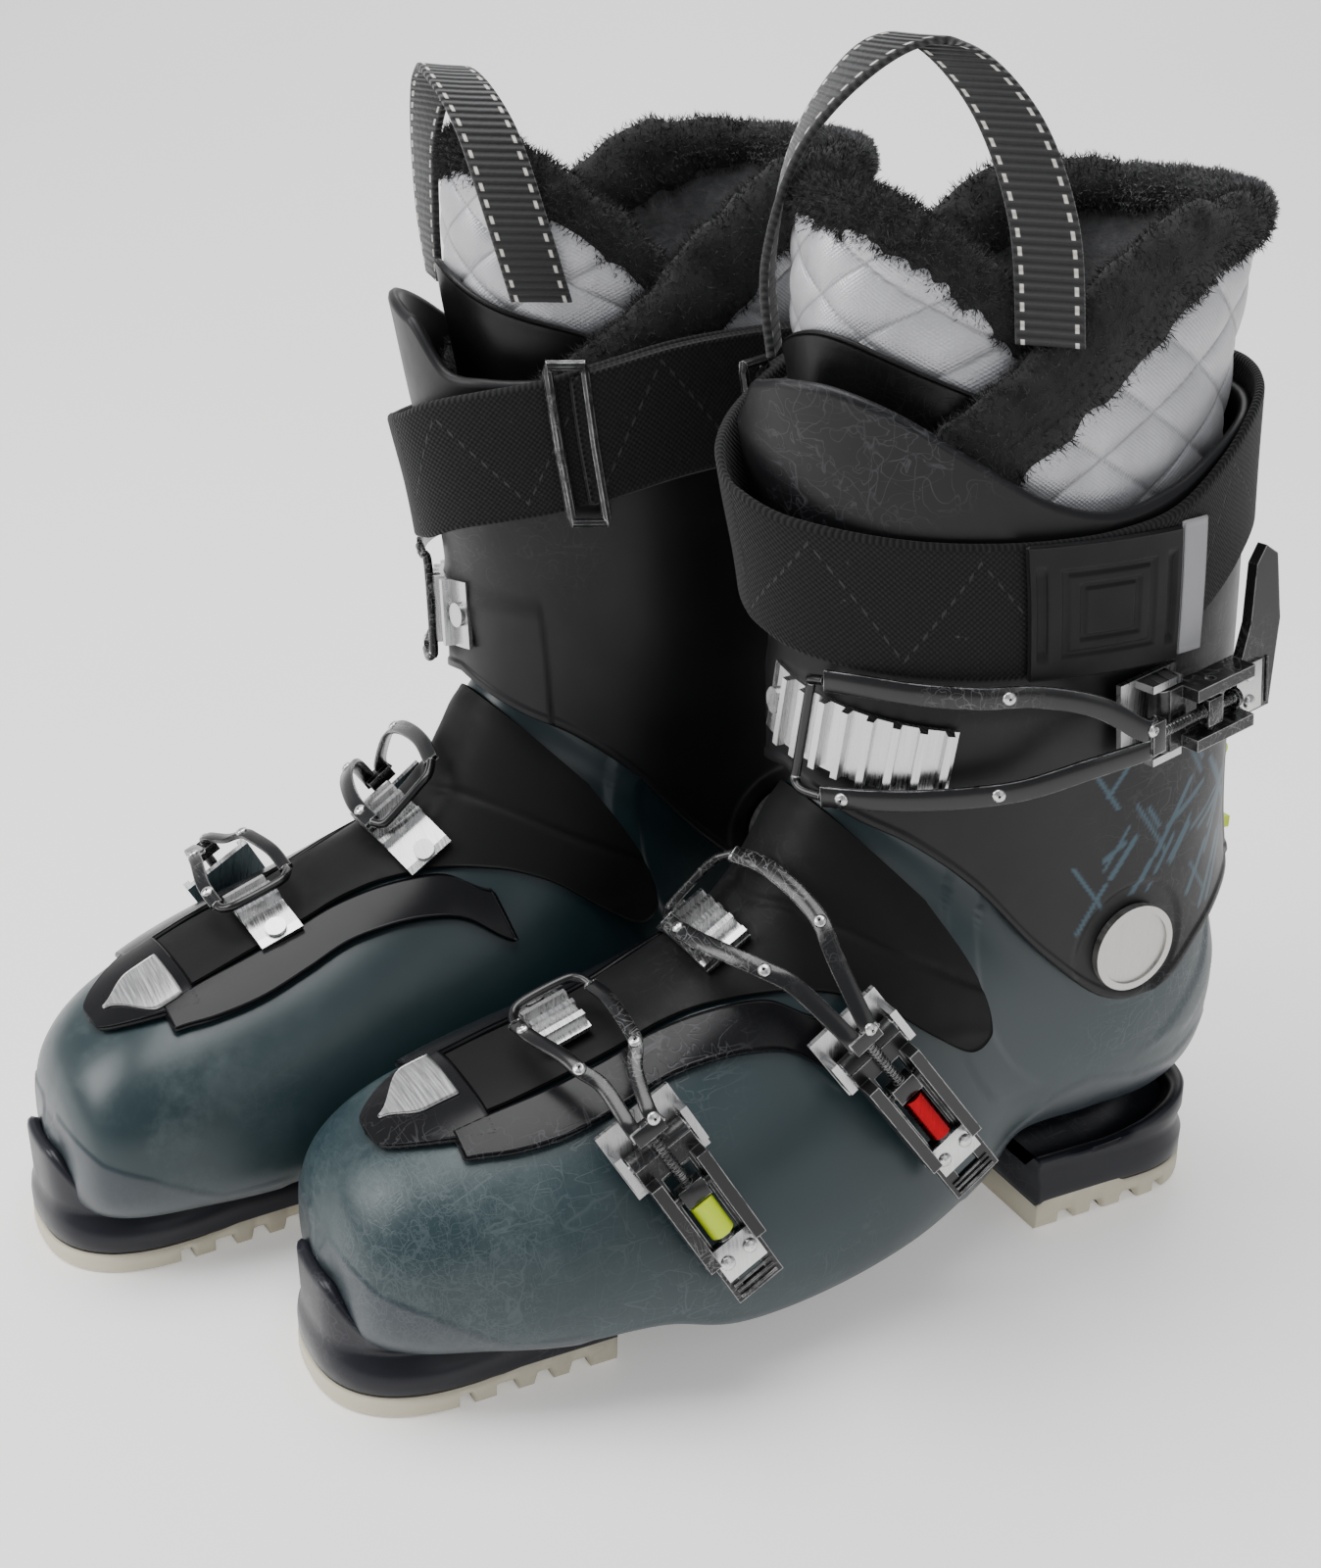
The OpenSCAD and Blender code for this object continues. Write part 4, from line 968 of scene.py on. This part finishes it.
def tongue():
    a0, a1 = -168, -12
    pitch, deep, radius = 24, 1.7, 34
    foot = 182

    def top(V):
        return 346 - 40 * np.abs(2 * V - 1) ** 2.6

    def f(U, V, d):
        a = a0 + (a1 - a0) * V
        hi = top(V) - 3
        z = foot + (hi - foot) * U
        puff, _ = quilted(np.radians(a) * radius, z, pitch, deep)
        return leg_out(LINER, z, a, -11.4 + puff * smooth(hi - z, 3, 12) * (d < 0.01) - d)

    def mm_at(uv):
        z = foot + (top(uv[:, 1]) - 3 - foot) * uv[:, 0]
        return np.radians(a0 + (a1 - a0) * uv[:, 1]) * radius, z
    soft_panel("tongue_quilt", "tongue_lining", "liner_tongue", f, 200, 260, 6.6, mm_at, pitch, deep)

    # plastic shield on the front with a wavy top edge
    def shield(U, V, d):
        a = -158 + 136 * V
        hi = 294 + 10 * V - 16 * np.abs(2 * V - 1) ** 3 + 3 * np.cos(V * 9.5 + 0.6)
        z = 184 + (hi - 184) * U
        return leg_out(LINER, z, a, -7.6 - d + 0.4 * np.exp(-((hi - z) / 3.0) ** 2) * (d < 0.01))
    pts, faces, uv, depth = pad(shield, 120, 160, 2.0, 0.8)
    both("tongue_shield", (pts, faces, uv), "cuff", M_TONGUE, None, "liner_dark")
    V = np.linspace(0.0, 1.0, 220)
    a = a0 + (a1 - a0) * V
    p, n = soft_rim("tongue_rim", leg_out(LINER, top(V) - 7, a, -15), outward_at(top(V), a), 5.6, 8.0,
                    lumpy(220, 24, 9, 0.08))
    rng = np.random.default_rng(12)
    for side in SIDES:
        pile("tongue_rim_pile", p, n, "cuff", side, M_FUR, "liner_dark", rng, 20000, 2.6, 0.16)


liner_cuff()
tongue()


# ---------------------------------------------------------------- pull loops
def loop_material():
    n = Nodes("ribbed loop webbing")
    u, v = n.uv()
    rib = n.math("SINE", n.math("MULTIPLY", u, 6.2832 / 2.4))
    edge_d = n.math("ABSOLUTE", v)
    line = n.math("SUBTRACT", 1.0, n.ramp(n.math("ABSOLUTE", n.math("SUBTRACT", edge_d, 7.2)), 0.35, 0.7))
    dash = n.ramp(n.math("SINE", n.math("MULTIPLY", u, 6.2832 / 4.8)), -0.1, 0.15)
    on = n.math("MULTIPLY", line, dash)
    c = n.mix(n.ramp(rib, -0.6, 0.8), (0.003, 0.003, 0.0035), (0.017, 0.017, 0.018))
    c = n.mix(on, c, (0.62, 0.6, 0.55))
    h = n.math("ADD", n.math("MULTIPLY", rib, 0.8), n.noise(420, 3, 0.6))
    return n.finish(c, 0.8, 0.0, n.bump(h, 0.8, 0.5), Sheen_Weight=0.3)


M_LOOP = loop_material()


LEFT_LOOP = [
    [-22, 1, 292, 0.8, -0.6], [-24, -1, 318, 0.8, -0.6], [-17, 3, 350, 0.78, -0.35],
    [0, 14, 374, 0.74, 0.05], [16, 24, 378, 0.68, 0.4], [31, 36, 362, 0.62, 0.62],
    [41, 44, 335, 0.6, 0.7], [47.5, 45, 304, 0.6, 0.7]]
RIGHT_LOOP = [
    [-31, 11, 298, 0.46, -0.89], [-30, 4, 320, 0.5, -0.86], [-20, -1, 346, 0.55, -0.8],
    [-2, -2, 359, 0.62, -0.62], [15, 0, 359, 0.72, -0.3], [30, 3, 340, 0.8, 0.0],
    [36, 6, 315, 0.8, 0.1], [38, 9, 294, 0.8, 0.2]]


def pull_loop(side, path):
    t = np.linspace(0, len(path) - 1, 160)
    r = along(path, t)
    p = r[:, :3]
    w = unit(np.stack([r[:, 3], r[:, 4], 0 * t], -1))
    o = unit(np.cross(w, np.gradient(p, axis=0)))
    prof = [(-9, -1), (-8.3, -1.25), (0, -1.1), (8.3, -1.25), (9, -1), (9.3, 0), (9, 1), (8.3, 1.25), (0, 1.1),
            (-8.3, 1.25), (-9, 1), (-9.3, 0)]
    rings = np.stack([p + w * a + o * b for a, b in prof], 1)
    pts, faces, _ = loft(rings)
    dist = np.concatenate([[0], np.cumsum(np.linalg.norm(np.diff(p, axis=0), axis=1))])
    uv = np.stack(np.broadcast_arrays(dist[:, None], np.array([a for a, b in prof])[None]), -1).reshape(-1, 2)
    mesh_piece("pull_loop", pts, faces, side, "cuff", M_LOOP, "pull_loop", "webbing", uv=uv)


pull_loop("left", LEFT_LOOP)
pull_loop("right", RIGHT_LOOP)


# ---------------------------------------------------------------- soles
M_LUG = plastic("dark lug plastic", (0.011, 0.0115, 0.0165), 0.33, 0.2, 0.5, (0.12, 0.12, 0.14), grime=0.5)
M_TREAD = plastic("cream tread rubber", (0.6, 0.555, 0.43), 0.6, 0.5, 0.35, (0.2, 0.18, 0.14), grime=0.45)
M_SCREW = metal("screw steel", (0.55, 0.55, 0.56), 0.3)


def outline(w, y0, y1, r, count):
    """Open U outline from one side to the other: points and outward directions."""
    side_pts = [(-w, y0 + (y1 - r - y0) * s) for s in np.linspace(0, 1, count // 3)]
    arc = []
    for g in np.linspace(180, 0, count):
        q = squircle(g, 2.5)
        arc.append((q * w * math.cos(math.radians(g)), y1 - r + q * r * math.sin(math.radians(g))))
    pts = np.array(side_pts[:-1] + arc + [(x * -1, y) for x, y in side_pts[::-1]][1:])
    t = unit(np.gradient(pts, axis=0))
    return pts, np.stack([-t[:, 1], t[:, 0]], -1)


# Toe and heel blocks: half width, inner end, outer end, depth of the round end
TOE_OUTLINE = (34.5, 72, 158.3, 40)
HEEL_OUTLINE = (35, 84, 159.2, 34)
TOE_TREAD_TOP, HEEL_TREAD_TOP = 6.98, 8.98


def sole_block(shape, profile, toe, count=90):
    """Solid block skinned over its outline; profile gives (offset, z) rows for the outline points."""
    pts, n = outline(*shape, count)
    rings = []
    for off, z in profile(pts):
        q = pts + n * (off + 0 * pts[:, 0])[:, None]
        rings.append(np.stack([q[:, 0], q[:, 1] * (-1 if toe else 1), z + 0 * q[:, 0]], -1))
    rings = np.array(rings)
    return loft(rings[:, ::-1] if toe else rings)


def toe_lug(p):
    front = (1 - smooth(np.abs(p[:, 0]), 10, 33)) * smooth(p[:, 1], 100, 150)
    side = smooth(p[:, 1], 72, 140)
    rise = 19.6 + 5.5 * side + 15 * front
    groove = 3.2 * (1 - front) * smooth(p[:, 1], 100, 130)
    return [(-1.2, TOE_TREAD_TOP), (-0.2, 7.6), (0.4, 9), (0.5, 13), (0.1 - groove * 0.4, 15.5 + 1.5 * side),
            (-0.6 - groove, 17 + 1.8 * side), (-0.9 - groove * 1.1, 17.6 + 3 * side + 2 * front),
            (-0.4 - groove * 0.4, rise - 2.6), (-0.8 - groove * 0.2, rise - 0.9), (-2.0, rise),
            (-4.0, rise - 0.8), (-7.0, rise - 5)]


def heel_lug(p):
    rise = 27 + 8 * smooth(p[:, 1], 110, 155)
    return [(-1.2, HEEL_TREAD_TOP), (-0.2, 9.6), (0.3, 11), (0.3, 17), (-1.4, 20.5), (-1.6, 23),
            (-0.4, 25.5 + 2 * smooth(p[:, 1], 84, 125)), (-0.6, rise - 1), (-1.6, rise), (-4, rise - 0.8),
            (-8, rise - 6)]


def tread(shape, z_top, toe, cuts):
    """Rubber layer whose side shows cut grooves; z_top(y) gives its upper edge."""
    def profile(p):
        y = p[:, 1]
        notch = np.zeros(len(p))
        for c, half in cuts:
            notch = np.maximum(notch, 1 - smooth(np.abs(y - c), half - 0.4, half + 0.4))
        notch = notch * smooth(np.abs(p[:, 0]), shape[0] - 9, shape[0] - 3)
        top = z_top(y)
        return [(-0.6 - 6 * notch, 0.02 + 3.4 * notch), (0.1 - 6 * notch, 0.6 + 3.2 * notch),
                (0.35 - 5 * notch, 2 + 2 * notch), (0.35, 4.6 + 0.3 * notch), (0.2, top - 0.3), (-0.6, top)]
    return sole_block(shape, profile, toe, 150)


def soles():
    made = join([sole_block(TOE_OUTLINE, toe_lug, True), sole_block(HEEL_OUTLINE, heel_lug, False)])
    both("sole_lugs", made, "lower", M_LUG, "sole_lugs", "lug")
    toe_top = lambda y: TOE_TREAD_TOP + 3.2 * (1 - smooth(y, 92, 118))
    heel_top = lambda y: HEEL_TREAD_TOP + 7 * smooth(y, 84, 92) * (1 - smooth(y, 112, 122))
    made = join([tread((34.5, 72, 158.5, 40), toe_top, True, [(84, 3), (96, 2.4), (108, 3.2), (121, 2)]),
                 tread((35, 84, 159.5, 34), heel_top, False, [(97, 3), (110, 2.5), (124, 3.4), (137, 2.2)])])
    both("sole_treads", made, "lower", M_TREAD, "sole_treads", "tread")


soles()

# ---------------------------------------------------------------- buckles and metal parts
# Levers, racks, bases and pivots keep their CAD shape, with plates added; the bails are built here
M_RACK = metal("cast rack metal", (0.66, 0.66, 0.66), 0.25)
M_BASE = metal("buckle base metal", (0.6, 0.6, 0.6), 0.3)
M_RIVET = metal("rivet metal", (0.68, 0.68, 0.67), 0.28)
M_PIVOT = metal("pivot disc metal", (0.6, 0.585, 0.56), 0.42)
M_LEVER = metal("black coated lever", (0.5, 0.5, 0.5), 0.35, paint=(0.007, 0.007, 0.0075), paint_rough=0.3)
M_BAIL = metal("black coated bail", (0.55, 0.55, 0.55), 0.32, paint=(0.006, 0.006, 0.0065), paint_rough=0.24)
M_WIRE = metal("black coated ring", (0.5, 0.5, 0.5), 0.35, paint=(0.008, 0.008, 0.0085), paint_rough=0.3)
M_RED = metal("red anodised", (0.36, 0.006, 0.012), 0.26)
M_LIME = plastic("lime plastic", (0.56, 0.73, 0.018), 0.32, 0.2, 0.4, (0.3, 0.35, 0.1), grime=0.15)
M_BOARD = plastic("board plastic", (0.05, 0.05, 0.055), 0.6)
TOE_B = ([54.5, -70, 88.5], 30, -17)
INSTEP_B = ([54, -1, 103], 36, -6)
CUFF_B = ([60, 88, 195], 98, 9)
LINK_X, LINK_Z = 6.5, -14


def at(b, p):
    """A point of a buckle's own frame in boot coordinates."""
    p = np.asarray(p, float)
    turn = Matrix.Rotation(math.radians(b[1]), 3, "X") @ Matrix.Rotation(math.radians(b[2]), 3, "Y")
    return p @ np.array(turn).T + np.array(b[0], float)


def block(b, lo, hi):
    """Box in a buckle's frame: points, faces, uv."""
    k = np.array([[x, y, z] for x in (0, 1) for y in (0, 1) for z in (0, 1)])
    p = np.array(lo) + k * (np.array(hi) - np.array(lo))
    f = np.array([[0, 1, 3, 2], [4, 6, 7, 5], [0, 4, 5, 1], [2, 3, 7, 6], [0, 2, 6, 4], [1, 5, 7, 3]])
    return at(b, p), f, k[:, :2].astype(float)


def dome(centre, normal, r, high):
    """A low round head standing on a surface: points, faces, uv."""
    normal = unit(np.asarray(normal, float))
    x = unit(np.cross(normal, [0.3, 0.2, 0.9]))
    y = np.cross(normal, x)
    ang = np.linspace(0, 2 * math.pi, 20, endpoint=False)[:, None]
    rim = np.cos(ang) * x + np.sin(ang) * y
    rings = [centre + rim * r * k + normal * h * high for k, h in
             ((0.9, -0.5), (1, 0), (0.97, 0.35), (0.82, 0.7), (0.55, 0.92), (0.2, 1))]
    pts, faces, uv = loft(np.array(rings))
    return pts, faces, uv


def arm(points, wide, thick, hint):
    """A flat bar along a smooth line; hint is near its width. Returns parts and its outward normals."""
    p = spline(points, 8)
    t = unit(np.gradient(p, axis=0))
    w = unit(np.array(hint, float) - t * (t @ np.array(hint, float))[:, None])
    n = np.cross(t, w)
    a, b = wide / 2, thick / 2
    half = [(-a, -b * 0.6), (-a + 0.5, -b), (a - 0.5, -b), (a, -b * 0.6)]
    prof = half + [(-u, -v) for u, v in half]
    rings = np.stack([p + w * u + n * v for u, v in prof], 1)
    return loft(rings), p, n


def bail(name, b, size, upper, cross, lower, hint, wide):
    """The visible bail: link block, threaded rod, two flat arms, cross wire and rivets."""
    reach = -size * 0.6
    z = np.arange(reach + 1.6, 8, 0.35)
    rod = at(b, np.stack([LINK_X + 0 * z, 0 * z, z], -1))
    thread = 1.62 + 0.2 * np.sin(z * 2 * math.pi / 1.4)
    inner = [at(b, [LINK_X, 3.4, 9]), at(b, [LINK_X, 3.4, 14])]
    outer = [at(b, [LINK_X, -3.4, 14]), at(b, [LINK_X, -3.4, 9])]
    one, p1, n1 = arm(inner + upper, wide, 1.9, hint)
    two, p2, n2 = arm(lower + outer, wide, 1.9, hint)
    parts = [tube(at(b, [[LINK_X, y, LINK_Z] for y in (-9.8, 9.8)]), 1.5, 16),
             tube(rod, thread, 14), tube(at(b, [[LINK_X, 0, reach], [LINK_X, 0, reach + 1.6]]), 3.0, 20),
             block(b, (LINK_X - 2.4, -4.2, -17), (LINK_X + 2.4, 4.2, -11)),
             block(b, (LINK_X - 2.2, -5, 7), (LINK_X + 2.2, 5, 12)),
             one, two, tube(spline([upper[-1]] + cross + [lower[0]], 6), 1.5, 12)]
    heads = []
    for p, n in ((p1, n1), (p2, n2)):
        k = len(p) // 2
        for i in (k, 5):
            out = n[i] * np.sign(n[i] @ (p[i] - [0, p[i][1] * 0.5 + 30, 90]))
            heads.append(dome(p[i] + out * 0.9, out, 2.1, 1.1))
    for ob in both(name, join(parts), f"{name}_body", M_BAIL, name, "bail_black"):
        soften(ob, 0.35, 2, 40)
    both(f"{name}_rivets", join(heads), f"{name}_body", M_RIVET, None, "bail_black")


bail("toe_bail", TOE_B, 52,
     [[43, -72, 108], [36, -68.5, 112], [28, -67.5, 113.5], [14, -66.5, 114.5], [2, -66.5, 113]],
     [[-2, -68, 113.5], [-5, -72, 112.5], [-5, -86, 108], [-2, -90, 106]],
     [[2, -91, 105.5], [14, -91, 107.5], [28, -88, 108.5], [36, -86, 107.5], [43, -82, 105]], (0, 0.9, 0.35), 4.4)
bail("instep_bail", INSTEP_B, 62,
     [[46, -10, 132], [38, -10, 139], [26, -11, 143], [10, -13, 145], [-4, -16, 143.5]],
     [[-8, -19, 141], [-9, -23, 138], [-9, -33, 129], [-8, -36, 126.5]],
     [[-4, -38, 126], [10, -38, 127], [26, -34, 128], [38, -28, 127], [46, -22, 124]], (0, 0.75, 0.65), 5.4)
bail("cuff_bail", CUFF_B, 42,
     [[65.5, 60, 205], [58.5, 44, 208], [52.9, 28, 208], [44, 13, 208.5], [34, 2, 209], [24.5, -5, 208.5]],
     [[19.5, -6.2, 207.2], [17.6, -5.4, 204], [13.4, -5.9, 177], [13.6, -6.4, 173.8], [17, -6, 171.8]],
     [[24, -3.5, 172], [33.5, 3.5, 173.5], [43, 15, 175], [51.5, 29, 177], [58, 44, 179.5], [65.5, 60, 186]],
     (0, 0, 1), 6.4)


def clip(name, b, size, tail_w):
    """Bright plate with two round heads on the lever tail, and a ribbed grip behind it."""
    top = 5.0
    mid, half = -size * 0.7 - 2.5, tail_w / 2
    plate = [block(b, (top - 0.1, 1.2 - half, mid - 5.5), (top + 0.9, half - 1.2, mid + 5.5))]
    heads = [dome(at(b, [top + 0.9, y, mid]), at(b, [1, 0, 0]) - at(b, [0, 0, 0]), 2.3, 1.3)
             for y in (-tail_w / 4, tail_w / 4)]
    grip = [block(b, (top - 0.1, 1.5 - half, k - size), (top + 0.7, half - 1.5, k - size + 0.9))
            for k in (1.2, 3.2, 5.2)]
    for ob in both(f"{name}_clip", join(plate + heads), f"{name}_body", M_RIVET, None, "lever_black"):
        soften(ob, 0.3, 2, 40)
    for ob in both(f"{name}_grip", join(grip), f"{name}_body", M_LEVER, None, "lever_black"):
        soften(ob, 0.25, 2, 40)


clip("toe_lever", TOE_B, 52, 16)
clip("instep_lever", INSTEP_B, 62, 17)
clip("cuff_lever", CUFF_B, 42, 18)
KEPT = {
    "sole_screws": (M_SCREW, 0.3), "boot_board": (M_BOARD, 0), "lower_racks": (M_RACK, 0.35),
    "lower_buckle_bases": (M_BASE, 0.35), "lower_rivets": (M_RIVET, 0.35), "ankle_pivots": (M_PIVOT, 0.4),
    "liner_foot": (M_FLEECE, 0), "cuff_rack": (M_RACK, 0.4), "cuff_buckle_base": (M_BASE, 0.35),
    "strap_ring": (M_WIRE, 0), "walk_lever": (M_LIME, 0.6), "toe_lever": (M_LEVER, 0.6),
    "instep_lever": (M_LEVER, 0.6), "cuff_lever": (M_LEVER, 0.6), "toe_adjuster": (M_LIME, 0.4),
    "instep_adjuster": (M_RED, 0.4)}
for side in SIDES:
    for name, (mat, bevel) in KEPT.items():
        ob = NODES.get(f"{side}_{name}")
        if ob is None:
            continue
        for s in ob.material_slots:
            s.material = mat
        if bevel:
            soften(ob, bevel, 2, 35)

# ---------------------------------------------------------------- floor, light, camera
FLOOR = bpy.data.meshes.new("floor")
steps = 40
prof = [(-1.2, 0.0)]
for g in np.linspace(0, 80, steps):
    prof.append((0.45 + 2.2 * math.sin(math.radians(g)), 2.2 - 2.2 * math.cos(math.radians(g))))
VIEW_AZ, VIEW_EL, VIEW_ROLL = 62.4, 24.0, 1.42
AZ = math.radians(VIEW_AZ)
back = np.array([-math.sin(AZ), math.cos(AZ)])
across = np.array([math.cos(AZ), math.sin(AZ)])
verts, faces = [], []
for s in (-3.2, 3.2):
    for d, z in prof:
        x, y = back * d + across * s
        verts.append((x, y, z))
k = len(prof)
faces = [(i, i + 1, k + i + 1, k + i) for i in range(k - 1)]
FLOOR.from_pydata(verts, [], faces)
FLOOR.update()
for p in FLOOR.polygons:
    p.use_smooth = True
floor = bpy.data.objects.new("floor", FLOOR)
bpy.context.scene.collection.objects.link(floor)
nf = Nodes("pale floor")
c = nf.mix(nf.ramp(nf.noise(3, 4, 0.5), 0.3, 0.8), (0.9, 0.89, 0.88), (0.93, 0.92, 0.91))
FLOOR.materials.append(nf.finish(c, 0.45, 0.0, nf.bump(nf.noise(500, 3, 0.6), 0.04, 0.1),
                                 Emission_Color=(1.0, 0.985, 0.965), Emission_Strength=0.3))
floor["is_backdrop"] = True


def area(name, at, to, size, power, color=(1, 1, 1)):
    light = bpy.data.lights.new(name, "AREA")
    light.shape = "RECTANGLE"
    light.size, light.size_y = size
    light.energy = power
    light.color = color
    ob = bpy.data.objects.new(name, light)
    ob.location = at
    ob.rotation_euler = (Vector(to) - Vector(at)).to_track_quat("-Z", "Y").to_euler()
    bpy.context.scene.collection.objects.link(ob)
    return ob


area("top_soft", (-0.1, -0.2, 1.7), (0, 0, 0.1), (1.3, 1.3), 34)
area("left_soft", (-0.5, -1.5, 1.0), (0, 0, 0.15), (0.9, 1.0), 20)
area("right_soft", (1.5, 0.35, 0.9), (0, 0, 0.15), (0.9, 1.2), 3.5)
area("back_soft", (-1.1, 0.9, 1.3), (0, 0.2, 0.2), (1.2, 1.0), 6)
world = bpy.data.worlds.new("room") if bpy.context.scene.world is None else bpy.context.scene.world
bpy.context.scene.world = world
world.use_nodes = True
world.node_tree.nodes["Background"].inputs[0].default_value = (0.93, 0.95, 1.0, 1)
world.node_tree.nodes["Background"].inputs[1].default_value = 0.42

cam = bpy.data.cameras.new("camera")
cam_ob = bpy.data.objects.new("camera", cam)
bpy.context.scene.collection.objects.link(cam_ob)
az, el, rolled = (math.radians(v) for v in (VIEW_AZ, VIEW_EL, VIEW_ROLL))
target = Vector(((CENTRE + [-13, -37, 167]) / 1000).tolist())
back_v = Vector((math.sin(az) * math.cos(el), -math.cos(az) * math.cos(el), math.sin(el)))
fwd = -back_v
right_v = fwd.cross(Vector((0, 0, 1))).normalized()
up_v = right_v.cross(fwd)
right_v, up_v = (right_v * math.cos(rolled) + up_v * math.sin(rolled),
                 -right_v * math.sin(rolled) + up_v * math.cos(rolled))
cam_ob.matrix_world = Matrix.Translation(target + back_v * 0.629) @ Matrix(
    ((right_v.x, up_v.x, back_v.x), (right_v.y, up_v.y, back_v.y), (right_v.z, up_v.z, back_v.z))).to_4x4()
cam.sensor_fit = "VERTICAL"
cam.sensor_height = 36
cam.lens = 48.3
cam.clip_start = 0.01
bpy.context.scene.camera = cam_ob

boxes = {"cad": cad_box, "visual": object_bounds()}
{k: [list(map(float, v)) for v in box] for k, box in boxes.items()}
